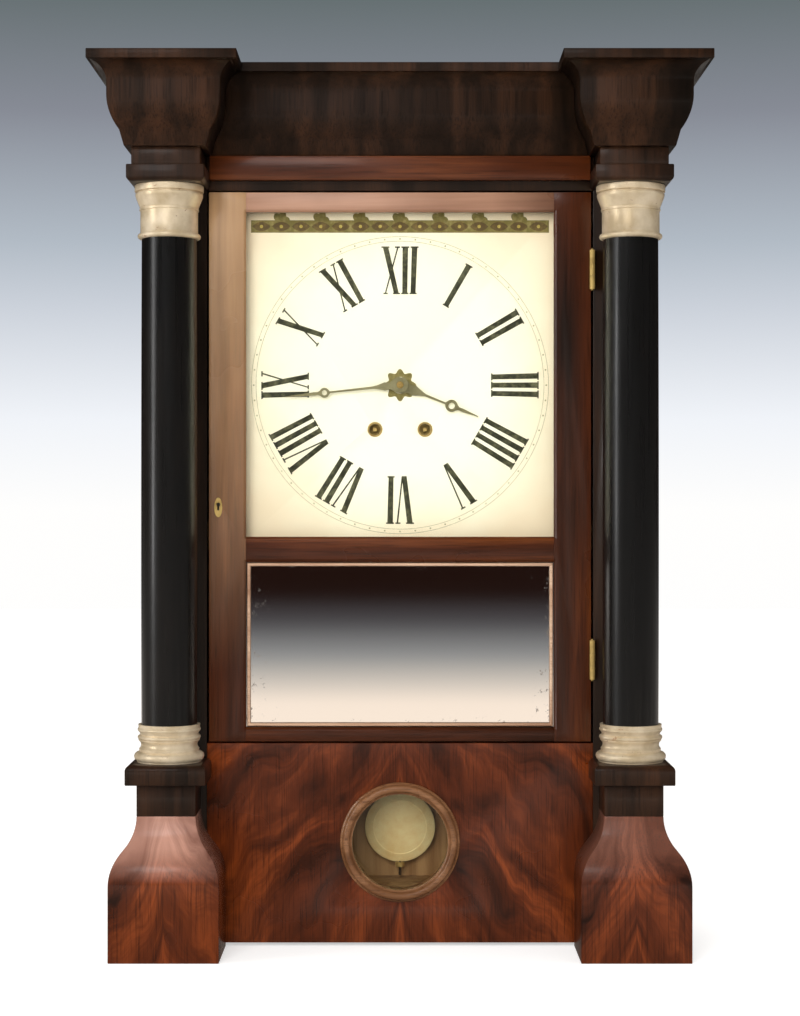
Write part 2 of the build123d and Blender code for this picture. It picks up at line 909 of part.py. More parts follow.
def escape_wheel():
    """Escape wheel with leaning pointed teeth."""
    step = 360 / escape_teeth
    points = []
    for tooth in range(escape_teeth):
        points.append(polar(escape_r, tooth * step))
        points.append(polar(escape_r - escape_tooth, (tooth + 0.12) * step))
    face = make_face(Polyline(*points, close=True))
    face -= crossing_windows(hub_r, escape_r - escape_tooth - 2.5, 4, 45)
    y0 = works_y + escape_plane
    return Pos(escape[0], 0, dial_z + escape[1]) * along_y(face, y0, y0 + wheel_t)


def drum(place):
    """Winding drum with two flanges on its arbor, whose front end is squared for a key."""
    x, z = place[0], dial_z + place[1]
    flat = works_y + drum_start
    end = works_y + drum_end
    found = bar_y(x, z, drum_r, flat, end, drum_sides)
    found += bar_y(x, z, drum_flange_r, flat, flat + drum_flange_t, drum_sides)
    found += bar_y(x, z, drum_flange_r, end - drum_flange_t, end, drum_sides)
    found += bar_y(x, z, great_arbor_r, works_y - plate_t - arbor_end, works_back_y + arbor_end)
    half = winding_square / 2
    square_y = works_y - plate_t - arbor_end
    found += block(
        x - half, x + half, square_y - winding_square_l, square_y, z - half, z + half
    )
    return found


great_bore = great_arbor_r + running_play
nodes["time_great_wheel"] = wheel(great, great_teeth, great_module, great_phase, great_plane, great_bore)
nodes["time_drum"] = drum(great)
centre_arbor = (
    wheel(centre, centre_teeth, centre_module, centre_phase, centre_plane)
    + pinion(centre, centre_leaves, great_module, centre_leaf_phase, great_plane, pinion_t * 0.8)
    + bar_y(0, dial_z, arbor_r, hand_nut_y - arbor_end, works_back_y + arbor_end)
)
nodes["third_wheel"] = (
    wheel(third, third_teeth, third_module, third_phase, third_plane)
    + pinion(third, third_leaves, centre_module, third_leaf_phase, centre_plane)
    + arbor(third)
)
nodes["escape_wheel"] = (
    escape_wheel()
    + pinion(escape, escape_leaves, third_module, escape_leaf_phase, third_plane)
    + arbor(escape)
)


def verge_and_crutch():
    """Anchor over the escape wheel, its arbor and the crutch behind the back plate."""
    distance = verge[1] - escape[1]
    half_span = pallet_span * 360 / escape_teeth / 2
    lever = hypot(escape_r * sin(radians(half_span)), distance - escape_r * cos(radians(half_span)))
    dip = lever * radians(verge_swing) + pallet_play
    inner = escape_r + dip + 0.5
    outer = inner + verge_band
    reach = half_span + 5
    ring = make_face(
        Curve()
        + [
            CenterArc((0, 0), outer, 90 - reach, 2 * reach),
            CenterArc((0, 0), inner, 90 - reach, 2 * reach),
            Line(polar(outer, 90 - reach), polar(inner, 90 - reach)),
            Line(polar(outer, 90 + reach), polar(inner, 90 + reach)),
        ]
    )
    for side in (-1, 1):
        angle = 90 - side * half_span
        nib = Pos(*polar(escape_r + dip + 1.5, angle)) * Rot(0, 0, angle) * Rectangle(3.0, 1.6)
        ring += nib
    stem = Pos(0, (outer + distance) / 2) * Rectangle(5.0, distance - inner)
    y0 = works_y + escape_plane
    found = Pos(escape[0], 0, dial_z + escape[1]) * along_y(ring + stem, y0, y0 + wheel_t)
    x, z = verge[0], dial_z + verge[1]
    found += bar_y(x, z, hub_r, y0 - hub_proud, y0 + wheel_t + hub_proud)
    arm_y0 = works_back_y + crutch_gap
    arm_y1 = arm_y0 + 1.5
    found += bar_y(x, z, arbor_r, works_y - plate_t - arbor_end, arm_y1)
    found += block(x - 2, x + 2, arm_y0, arm_y1, z - crutch_l, z + 2)
    fork = block(x - 4, x + 4, arm_y0, pendulum_y + 4, z - crutch_l - 2, z - crutch_l + 2)
    slot = rod_r + rod_play
    slot_d = rod_r + crutch_slot_play
    y, foot = pendulum_y, z - crutch_l
    return found + fork - block(x - slot, x + slot, y - slot_d, y + slot_d, foot - 3, foot + 3)


nodes["verge_and_crutch"] = verge_and_crutch()

# Strike train

strike_phase = 0.0
pin_leaf_phase = mesh_phase(strike_phase, strike_teeth, pin_leaves, strike_great, pin_wheel)
lock_leaf_phase = mesh_phase(0.0, pin_teeth, lock_leaves, pin_wheel, lock_wheel)
fly_leaf_phase = mesh_phase(0.0, lock_teeth, fly_leaves, lock_wheel, fly)


def count_wheel():
    """Disc on the great wheel with a notch after each hour's blows, 1 to 12."""
    y0 = works_y + count_plane
    y1 = works_y + strike_plane
    x, z = strike_great[0], dial_z + strike_great[1]
    disc = bar_y(0, 0, count_r, y0, y0 + wheel_t, count_sides)
    blows = 0
    total = 12 * 13 / 2
    for hour in range(1, 13):
        blows += hour
        notch = Pos(count_r - notch_depth / 2 + 1, (y0 + y0 + wheel_t) / 2, 0)
        disc -= Rot(0, 360 * blows / total, 0) * notch * Box(notch_depth + 2, wheel_t, notch_w)
    disc += bar_y(0, 0, hub_r, y0 + wheel_t, y1)
    disc -= bore_y(0, 0, great_bore, y0, y1)
    return Pos(x, 0, z) * disc


def striking_pins():
    """Pins on the pin wheel's back, which lift the hammer."""
    y0 = works_y + pin_plane + wheel_t
    found = []
    for number in range(strike_pins):
        x, z = polar(strike_pin_ring, 360 * number / strike_pins + 15)
        pin = along_y(Pos(x, z) * RegularPolygon(strike_pin_r, 4), y0, y0 + strike_pin_l)
        found.append(Pos(pin_wheel[0], 0, dial_z + pin_wheel[1]) * pin)
    return found


def fly_vanes():
    """Air brake of two thin vanes on the last arbor."""
    x, z = fly[0], dial_z + fly[1]
    y0 = works_y + lock_plane + 5
    vanes = block(x - fly_r, x + fly_r, y0, y0 + fly_d, z - fly_t / 2, z + fly_t / 2)
    return vanes + bar_y(x, z, arbor_r + 0.9, y0, y0 + fly_d)


nodes["strike_great_wheel"] = (
    wheel(strike_great, strike_teeth, strike_module, strike_phase, strike_plane, great_bore)
    + count_wheel()
)
nodes["strike_drum"] = drum(strike_great)
pin_wheel_solid = wheel(pin_wheel, pin_teeth, pin_module, 0.0, pin_plane)
for striking_pin in striking_pins():
    pin_wheel_solid += striking_pin
nodes["pin_wheel"] = (
    pin_wheel_solid
    + pinion(pin_wheel, pin_leaves, strike_module, pin_leaf_phase, strike_plane)
    + arbor(pin_wheel)
)
nodes["locking_wheel"] = (
    wheel(lock_wheel, lock_teeth, lock_module, 0.0, lock_plane)
    + pinion(lock_wheel, lock_leaves, pin_module, lock_leaf_phase, pin_plane)
    + arbor(lock_wheel)
)
nodes["fly"] = (
    fly_vanes() + pinion(fly, fly_leaves, lock_module, fly_leaf_phase, lock_plane) + arbor(fly)
)


def hammer_and_tail():
    """Hammer with its arbor, the tail at the pins and the long arm down to the bell."""
    x, z = hammer[0], dial_z + hammer[1]
    tail_end = pin_wheel[0] + strike_pin_ring + strike_pin_r + fit_play
    tail_y = works_y + pin_plane + wheel_t + hammer_tail_gap
    arm_y = works_y + hammer_plane
    head_x = bell_x + bell_r + bell_gap
    head_z = bell_z
    top = Vector(x, 0, z)
    end = Vector(head_x + hammer_head_l * 0.6, 0, head_z)
    run = end - top
    lean = degrees(atan2(run.X, -run.Z))
    arm_mid_y = arm_y + hammer_arm_t / 2
    bar = Pos(0, arm_mid_y, -run.length / 2) * Box(hammer_arm_w, hammer_arm_t, run.length)
    found = Pos(x, 0, z) * Rot(0, -lean, 0) * bar
    found += block(tail_end, x, tail_y, tail_y + hammer_arm_t, z - arbor_r, z + arbor_r)
    found += bar_y(x, z, 2 * arbor_r, tail_y, arm_y + hammer_arm_t)
    found += arbor(hammer)
    head = Pos(head_x, arm_mid_y, head_z) * Rot(0, 90, 0)
    return found + head * extrude(RegularPolygon(hammer_head_r, 12), amount=hammer_head_l)


def bell_cup(r, depth):
    """Many sided cup that narrows towards its crown."""
    return extrude(RegularPolygon(r, bell_sides), amount=depth, taper=bell_taper)


def bell():
    """Bell, open to the front, with a hole for its post."""
    shell = bell_cup(bell_r, bell_depth) - bell_cup(bell_r - bell_wall, bell_depth - bell_wall)
    shell -= extrude(RegularPolygon(bell_post_r, 8), amount=bell_depth)
    mouth_y = works_y + hammer_plane + hammer_arm_t / 2 - bell_lap
    return Pos(bell_x, mouth_y, bell_z) * Rot(-90, 0, 0) * shell, mouth_y + bell_depth


bell_shell, bell_back_y = bell()
nodes["hammer"] = hammer_and_tail()
bell_front_y = bell_back_y - bell_wall
bell_post = bar_y(bell_x, bell_z, bell_post_r, bell_front_y, back_board_y)
bell_post += bar_y(bell_x, bell_z, 2 * bell_post_r, bell_back_y, back_board_y)
bell_post += bar_y(bell_x, bell_z, 1.6 * bell_post_r, bell_front_y - 2, bell_front_y)
nodes["bell"] = Compound(children=[bell_shell, bell_post])

# Motion work and hands

cannon_plane = plate_y - works_y - 3.2
hour_plane = plate_y - works_y - 6.6
minute_phase = mesh_phase(0.0, cannon_leaves, minute_teeth, centre, minute_stud)
hour_phase = mesh_phase(0.0, minute_leaves, hour_teeth, minute_stud, centre)


def tube(r_out, r_in, y0, y1, sides=small_sides):
    """Pipe round the centre arbor."""
    return bar_y(0, dial_z, r_out, y0, y1, sides) - bore_y(0, dial_z, r_in, y0, y1, sides)


def flat_wheel(place, teeth, module, phase, plane, hole_r):
    """Plain wheel of the motion work with a hole."""
    y0 = works_y + plane
    found = along_y(toothed(teeth, module, phase), y0, y0 + wheel_t)
    found -= bore_y(0, 0, hole_r, y0, y0 + wheel_t)
    return Pos(place[0], 0, dial_z + place[1]) * found


cannon_y = works_y + cannon_plane
cannon = flat_wheel(centre, cannon_leaves, cannon_module, 0.0, cannon_plane, arbor_r)
cannon += tube(cannon_r, arbor_r, minute_hand_y, cannon_y)
nodes["centre_wheel"] = Compound(children=[centre_arbor, cannon])
hour_y = works_y + hour_plane
hour = flat_wheel(centre, hour_teeth, hour_module, hour_phase, hour_plane, cannon_r + running_play)
hour += tube(hour_pipe_r, cannon_r + running_play, hour_hand_y, hour_y)
nodes["hour_wheel"] = hour
minute = flat_wheel(
    minute_stud, minute_teeth, cannon_module, minute_phase, cannon_plane, stud_r + running_play
)
minute += flat_wheel(
    minute_stud, minute_leaves, hour_module, 0.0, hour_plane, stud_r + running_play
)
bridge = bar_y(0, dial_z + minute_stud[1], 1.7 * stud_r, hour_y + wheel_t, cannon_y)
bridge -= bore_y(0, dial_z + minute_stud[1], stud_r + running_play, hour_y + wheel_t, cannon_y)
nodes["minute_wheel"] = minute + bridge


def hand(length, width, y, hole_r, angle):
    """Flat pointed hand with a ring near its tip, turned clockwise from twelve."""
    ring_z = length * 0.66
    blade = make_face(
        Polyline(
            (-width, 0),
            (-width * 0.6, ring_z),
            (0, length),
            (width * 0.6, ring_z),
            (width, 0),
            close=True,
        )
    )
    face = blade + RegularPolygon(hand_boss_r, hand_sides)
    face += Pos(0, ring_z) * RegularPolygon(width * 2.2, hand_sides)
    face -= Pos(0, ring_z) * RegularPolygon(width * 1.3, hand_sides)
    face -= RegularPolygon(hole_r, small_sides, major_radius=False)
    return Pos(0, 0, dial_z) * Rot(0, angle, 0) * along_y(face, y, y + hand_t)


hours, minutes = hand_time
minute_angle = 6 * minutes
hour_angle = 30 * hours + minutes / 2
nodes["hour_hand"] = hand(
    hour_hand_l, hour_hand_w / 2, hour_hand_y - hand_t, cannon_r + running_play, hour_angle
)
minute_blade = hand(minute_hand_l, minute_hand_w / 2, minute_hand_y - hand_t, arbor_r, minute_angle)
hand_nut = tube(hand_nut_r, arbor_r, hand_nut_y, minute_hand_y - hand_t)
nodes["minute_hand"] = Compound(children=[minute_blade, hand_nut])

# Movement frame: plates, pillars, standoffs and stud


def plate(y0):
    """Brass plate with cut corners and a hole for each arbor."""
    outline = make_face(
        Polyline(
            (-plate_half, plate_corner - plate_foot),
            (-plate_half, plate_top - plate_corner),
            (plate_corner - plate_half, plate_top),
            (plate_half - plate_corner, plate_top),
            (plate_half, plate_top - plate_corner),
            (plate_half, plate_corner - plate_foot),
            (plate_half - plate_corner, -plate_foot),
            (plate_corner - plate_half, -plate_foot),
            close=True,
        )
    )
    small = (centre, third, escape, verge, pin_wheel, lock_wheel, fly, hammer)
    for x, z in small:
        outline -= Pos(x, z) * RegularPolygon(arbor_r + pivot_play, small_sides, major_radius=False)
    for x, z in (great, strike_great):
        outline -= Pos(x, z) * RegularPolygon(great_arbor_r + pivot_play, small_sides, major_radius=False)
    return Pos(0, 0, dial_z) * along_y(outline, y0, y0 + plate_t)


pillar_places = [(x, z) for x in (-pillar_x, pillar_x) for z in (pillar_top, -pillar_foot)]
pillars = [bar_y(x, dial_z + z, pillar_r, works_y, back_plate_y) for x, z in pillar_places]
standoffs = [bar_y(x, dial_z + z, standoff_r, works_back_y, back_board_y) for x, z in pillar_places]
stud = bar_y(0, dial_z + minute_stud[1], stud_r, hour_y - stud_end, plate_y)
nodes["front_plate"] = plate(plate_y) + stud
nodes["plate_pillars"] = Compound(children=pillars + standoffs)

# Pendulum with its suspension

pivot_z = dial_z + verge[1]
spring_top_gap = 0.1


def suspension_post():
    """Arm on the back plate that holds the pendulum spring."""
    arm = block(-6, 6, works_back_y, pendulum_y + 5, pivot_z + 8, pivot_z + 14)
    return arm + block(-4, 4, pendulum_y - 3, pendulum_y + 3, pivot_z + spring_top_gap, pivot_z + 8)


rod_top_z = pivot_z - spring_l
nut_top_z = bob_z - bob_r
nodes["back_plate"] = plate(back_plate_y) + suspension_post()
pendulum_spring = block(
    -spring_t / 2, spring_t / 2, pendulum_y - spring_w / 2, pendulum_y + spring_w / 2, rod_top_z, pivot_z
)
rod_foot_z = nut_top_z - rod_thread_l
rod_face = RegularPolygon(rod_r, small_sides)
rod = Pos(0, pendulum_y, rod_foot_z) * extrude(rod_face, amount=rod_top_z - rod_foot_z)
nodes["pendulum_rod"] = rod + pendulum_spring


def bob_band(r, inner_r, z0, z1):
    """One sloping band of the bob's face, narrowing from one radius to the next."""
    taper = degrees(atan2(r - inner_r, z1 - z0))
    return Pos(0, 0, z0) * extrude(RegularPolygon(r, bob_sides), amount=z1 - z0, taper=taper)


def pendulum_bob():
    """Lens shaped bob, swollen in two bands on each side, with a bore for the rod."""
    rim = bob_rim_t / 2
    shoulder = bob_t * bob_shoulder / 2
    face = extrude(RegularPolygon(bob_r, bob_sides), amount=rim)
    face += bob_band(bob_r, bob_crown_r, rim, shoulder)
    face += bob_band(bob_crown_r, bob_tip_r, shoulder, bob_t / 2)
    lens = face + mirror(face, about=Plane.XY)
    bore_face = RegularPolygon(rod_r + running_play, small_sides, major_radius=False)
    bore = Pos(0, pendulum_y, nut_top_z - 1) * extrude(bore_face, amount=2 * bob_r + 2)
    return Pos(0, pendulum_y, bob_z) * Rot(90, 0, 0) * lens - bore


nodes["pendulum_bob"] = pendulum_bob()
nut_face = RegularPolygon(nut_r, 6) - RegularPolygon(rod_r + running_play, small_sides, major_radius=False)
nut_z = nut_top_z - nut_play - nut_h
nodes["rating_nut"] = Pos(0, pendulum_y, nut_z) * extrude(nut_face, amount=nut_h)

# Weights, pulleys and cords

cord_y = works_y + (drum_start + drum_end) / 2
drum_cord_r = drum_r + cord_play + cord_r
pulley_cord_r = pulley_r + cord_play + cord_r
pulley_x = -weight_x + pulley_cord_r
weight_z = case_floor_z + board + weight_rest_gap
weight_top_z = weight_z + weight_h + weight_hook_h
time_travel = 2 * 3.141592653589793 * drum_cord_r * time_turns
strike_travel = 2 * 3.141592653589793 * drum_cord_r * strike_turns


def weight():
    """Left cast iron weight with chamfered edges and a hook post."""
    body = block(-weight_w / 2, weight_w / 2, -weight_d / 2, weight_d / 2, 0, weight_h)
    body = chamfer(body.edges().filter_by(Axis.Z), 5)
    body = chamfer(body.faces().sort_by(Axis.Z)[-1].edges(), 4)
    body += Pos(0, 0, weight_h) * extrude(RegularPolygon(weight_hook_r, 8), amount=weight_hook_h)
    return Pos(-weight_x, cord_y, weight_z) * body


def pulley():
    """Left pulley with two flanges beside its groove and a bore for its pin."""
    half = pulley_t / 2
    sides = [(-half, 1 - half), (half - 1, half)]
    found = bar_y(0, 0, pulley_r, -half, half, drum_sides)
    for y0, y1 in sides:
        found += bar_y(0, 0, pulley_flange_r, y0, y1, drum_sides)
    found -= bore_y(0, 0, pulley_pin_r + running_play, -half, half)
    return Pos(pulley_x, cord_y, pulley_z) * found


def pulley_bracket():
    """Strap bent under the case top, with the pulley's pin across it."""
    half = pulley_t / 2 + bracket_gap
    width = 8.0
    top = slab_z - board
    found = block(
        pulley_x - width, pulley_x + width, cord_y - half - bracket_t, cord_y + half + bracket_t,
        top - bracket_t, top,
    )
    for y0 in (cord_y - half - bracket_t, cord_y + half):
        found += block(
            pulley_x - width, pulley_x + width, y0, y0 + bracket_t, pulley_z - width, top
        )
    return found + bar_y(pulley_x, pulley_z, pulley_pin_r, cord_y - half, cord_y + half)


def upper_cord():
    """Cord from the drum up to the pulley and over it, down to the pulley's middle height."""
    dx = pulley_x - great[0]
    dz = pulley_z - dial_z - great[1]
    span = hypot(dx, dz)
    line = atan2(dz, dx)
    turn = line - acos((drum_cord_r - pulley_cord_r) / span)
    start = (great[0] + drum_cord_r * cos(turn), dial_z + great[1] + drum_cord_r * sin(turn))
    touch = (pulley_x + pulley_cord_r * cos(turn), pulley_z + pulley_cord_r * sin(turn))
    front = Plane(origin=(0, cord_y, 0), x_dir=(1, 0, 0), z_dir=(0, -1, 0))
    straight = front * Line(start, touch)
    over = front * CenterArc((pulley_x, pulley_z), pulley_cord_r, degrees(turn), 180 - degrees(turn))
    tubes = []
    for path in (straight, over):
        section = Plane(origin=path @ 0, z_dir=path % 0) * RegularPolygon(cord_r, 6)
        tubes.append(sweep(section, path=path))
    return tubes[0] + tubes[1]


cord_upper = upper_cord()
cord_hanging = Pos(-weight_x, cord_y, weight_top_z) * extrude(
    RegularPolygon(cord_r, 8), amount=pulley_z - weight_top_z
)
left_weight = weight()
left_pulley = pulley()
nodes["time_weight"] = left_weight
nodes["strike_weight"] = mirror(left_weight, about=Plane.YZ)
nodes["time_pulley"] = left_pulley
nodes["strike_pulley"] = mirror(left_pulley, about=Plane.YZ)
nodes["pulley_brackets"] = both_sides(pulley_bracket())
nodes["cords_over_pulleys"] = both_sides(cord_upper)
nodes["time_cord_hanging"] = cord_hanging
nodes["strike_cord_hanging"] = mirror(cord_hanging, about=Plane.YZ)

if __name__ == "__main__":
    os.makedirs("parts", exist_ok=True)
    for name, shape in nodes.items():
        export_step(shape, f"parts/{name}.step")
    print(len(nodes), "nodes", round(2 * cornice_half_x), "x", round(case_back_y - cornice_front_y))
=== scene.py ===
import json
import logging
import math
from collections.abc import Sequence
from dataclasses import dataclass, field
from enum import Enum

import bmesh
import bpy
from mathutils import Matrix, Vector


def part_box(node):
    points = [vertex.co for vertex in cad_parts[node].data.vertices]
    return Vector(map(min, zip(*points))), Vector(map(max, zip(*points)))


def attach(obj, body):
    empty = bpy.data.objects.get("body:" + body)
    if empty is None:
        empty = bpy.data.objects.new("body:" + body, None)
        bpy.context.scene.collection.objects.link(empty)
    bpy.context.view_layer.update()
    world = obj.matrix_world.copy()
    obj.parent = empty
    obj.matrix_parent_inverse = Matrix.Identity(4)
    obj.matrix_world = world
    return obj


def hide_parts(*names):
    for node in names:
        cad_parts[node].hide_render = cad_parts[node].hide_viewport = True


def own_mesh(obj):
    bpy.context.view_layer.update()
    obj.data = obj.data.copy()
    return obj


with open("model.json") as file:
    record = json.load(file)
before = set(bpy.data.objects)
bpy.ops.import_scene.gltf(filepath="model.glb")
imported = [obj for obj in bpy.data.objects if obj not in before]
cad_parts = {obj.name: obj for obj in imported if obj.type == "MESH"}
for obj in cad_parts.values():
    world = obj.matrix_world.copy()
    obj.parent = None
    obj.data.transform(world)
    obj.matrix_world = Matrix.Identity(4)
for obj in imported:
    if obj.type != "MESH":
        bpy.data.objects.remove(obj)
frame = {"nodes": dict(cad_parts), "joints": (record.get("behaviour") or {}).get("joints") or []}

log = logging.getLogger("shelf_clock")

Point2 = tuple[float, float]
Point3 = tuple[float, float, float]
Colour = tuple[float, float, float, float]


def mm(value: float) -> float:
    """Millimetres as metres."""
    return value * 0.001


def tint(red: float, green: float, blue: float) -> Colour:
    """Colour written as 0 to 255 display values, as the linear colour that a shader takes.

    Args:
        red: Red, 0 to 255.
        green: Green, 0 to 255.
        blue: Blue, 0 to 255.

    Returns:
        Linear red, green, blue and an alpha of 1.
    """
    channels = []
    for level in (red, green, blue):
        share = level / 255.0
        channels.append(share / 12.92 if share <= 0.04045 else ((share + 0.055) / 1.055) ** 2.4)
    return (channels[0], channels[1], channels[2], 1.0)


class Grain(Enum):
    """Axis that a board's grain runs along."""

    ACROSS = 0
    UPRIGHT = 2


class Figure(Enum):
    """Kind of figure that a veneer shows."""

    STRAIGHT = "straight"
    FLAME = "flame"


# Finishes


class Tree:
    """A node tree, with short calls for its nodes and links."""

    def __init__(self, tree: bpy.types.NodeTree) -> None:
        """Take over a tree and empty it.

        Args:
            tree: Tree of a material, a world or a geometry group.
        """
        self.tree = tree
        self.tree.nodes.clear()

    def add(self, kind: str, **settings: object) -> bpy.types.Node:
        """Add a node and set its properties.

        Args:
            kind: Type name of the node.
            **settings: Properties to set on it.

        Returns:
            The new node.
        """
        node = self.tree.nodes.new(kind)
        for name, value in settings.items():
            setattr(node, name, value)
        return node

    def join(self, source: bpy.types.NodeSocket, target: bpy.types.NodeSocket) -> None:
        """Link two sockets."""
        self.tree.links.new(source, target)

    def feed(self, target: bpy.types.NodeSocket, value: object) -> None:
        """Set a socket's value, or link it where the value is a socket.

        Args:
            target: Socket to set.
            value: A plain value or another socket.
        """
        if isinstance(value, bpy.types.NodeSocket):
            self.join(value, target)
        else:
            target.default_value = value

    def maths(self, operation: str, first: object, second: object = 0.0) -> bpy.types.NodeSocket:
        """One arithmetic step on numbers or sockets.

        Args:
            operation: Name of the operation.
            first: Number or socket.
            second: Number or socket.

        Returns:
            The result.
        """
        node = self.add("ShaderNodeMath", operation=operation)
        self.feed(node.inputs[0], first)
        self.feed(node.inputs[1], second)
        return node.outputs[0]

    def spread(
        self, value: bpy.types.NodeSocket, low: float, high: float, to_low: float = 0.0, to_high: float = 1.0
    ) -> bpy.types.NodeSocket:
        """Stretch a range of values over another, with the ends held.

        Args:
            value: Value to stretch.
            low: Value that becomes to_low.
            high: Value that becomes to_high.
            to_low: Result at the low end.
            to_high: Result at the high end.

        Returns:
            The stretched value.
        """
        node = self.add("ShaderNodeMapRange")
        self.join(value, node.inputs["Value"])
        node.inputs["From Min"].default_value = low
        node.inputs["From Max"].default_value = high
        node.inputs["To Min"].default_value = to_low
        node.inputs["To Max"].default_value = to_high
        return node.outputs["Result"]

    def ramp(
        self, value: bpy.types.NodeSocket, stops: Sequence[tuple[float, Colour]]
    ) -> bpy.types.NodeSocket:
        """Colour read off a ramp of stops, each a place from 0 to 1 and its colour.

        Args:
            value: Place on the ramp.
            stops: Places and their colours.

        Returns:
            The colour.
        """
        node = self.add("ShaderNodeValToRGB")
        while len(node.color_ramp.elements) < len(stops):
            node.color_ramp.elements.new(1.0)
        for element, (place, colour) in zip(node.color_ramp.elements, stops):
            element.position = place
            element.color = colour
        self.join(value, node.inputs["Fac"])
        return node.outputs["Color"]

    def cross(self, share: object, first: object, second: object) -> bpy.types.NodeSocket:
        """Cross from one surface to another.

        Args:
            share: Share of the second surface.
            first: First surface.
            second: Second surface.

        Returns:
            The surface between them.
        """
        node = self.add("ShaderNodeMixShader")
        for socket, value in zip(node.inputs, (share, first, second)):
            self.feed(socket, value)
        return node.outputs[0]


class Shader(Tree):
    """A material's node tree, with short calls for the nodes that the finishes share."""

    def __init__(self, name: str) -> None:
        """Start a material with one principled surface.

        Args:
            name: Name of the new material.
        """
        self.material = bpy.data.materials.new(name)
        self.material.use_nodes = True
        super().__init__(self.material.node_tree)
        self.output = self.add("ShaderNodeOutputMaterial")
        self.surface = self.add("ShaderNodeBsdfPrincipled")
        self.join(self.surface.outputs["BSDF"], self.output.inputs["Surface"])

    def place(self, scale: Point3 = (1, 1, 1), shift: Point3 = (0, 0, 0)) -> bpy.types.NodeSocket:
        """Object coordinates, scaled and shifted.

        Args:
            scale: Scale on each axis.
            shift: Shift on each axis, after the scale.

        Returns:
            The coordinates.
        """
        source = self.add("ShaderNodeTexCoord")
        mapping = self.add("ShaderNodeMapping")
        mapping.inputs["Scale"].default_value = scale
        mapping.inputs["Location"].default_value = shift
        self.join(source.outputs["Object"], mapping.inputs["Vector"])
        return mapping.outputs["Vector"]

    def noise(
        self,
        vector: bpy.types.NodeSocket,
        scale: float,
        detail: float = 4.0,
        roughness: float = 0.55,
        distortion: float = 0.0,
    ) -> bpy.types.NodeSocket:
        """Noise between 0 and 1 on the given coordinates.

        Args:
            vector: Coordinates.
            scale: Further scale of the pattern.
            detail: Number of finer layers.
            roughness: Weight of the finer layers.
            distortion: Amount of warping.

        Returns:
            The noise.
        """
        node = self.add("ShaderNodeTexNoise")
        self.join(vector, node.inputs["Vector"])
        node.inputs["Scale"].default_value = scale
        node.inputs["Detail"].default_value = detail
        node.inputs["Roughness"].default_value = roughness
        node.inputs["Distortion"].default_value = distortion
        return node.outputs["Fac"]

    def mix(self, share: object, first: object, second: object, blend: str = "MIX") -> bpy.types.NodeSocket:
        """Mix of two colours, each a value or a socket.

        Args:
            share: Share of the second colour.
            first: Colour or socket.
            second: Colour or socket.
            blend: Way of blending.

        Returns:
            The mixed colour.
        """
        node = self.add("ShaderNodeMix", data_type="RGBA", blend_type=blend)
        self.feed(node.inputs[0], share)
        self.feed(node.inputs[6], first)
        self.feed(node.inputs[7], second)
        return node.outputs[2]

    def relief(self, height: bpy.types.NodeSocket, strength: float, depth: float) -> None:
        """Bump the surface by a height, with the depth in metres.

        Args:
            height: Height, 0 to 1.
            strength: Share of the bump that shows.
            depth: Depth in metres.
        """
        node = self.add("ShaderNodeBump")
        node.inputs["Strength"].default_value = strength
        node.inputs["Distance"].default_value = depth
        self.join(height, node.inputs["Height"])
        self.join(node.outputs["Normal"], self.surface.inputs["Normal"])

    def constants(self, **values: float) -> None:
        """Set plain values on the surface's own sockets, spaces written as underscores."""
        for name, value in values.items():
            self.surface.inputs[name.replace("_", " ")].default_value = value


@dataclass(frozen=True)
class PaintedSheen:
    """Painted highlight on a veneer: paler colour where light catches the polish, which comes in over a span
    of height and a span of width, in metres.
    """

    deep: Colour
    light: Colour
    heights: Point2
    widths: Point2
    amount: float = 0.8


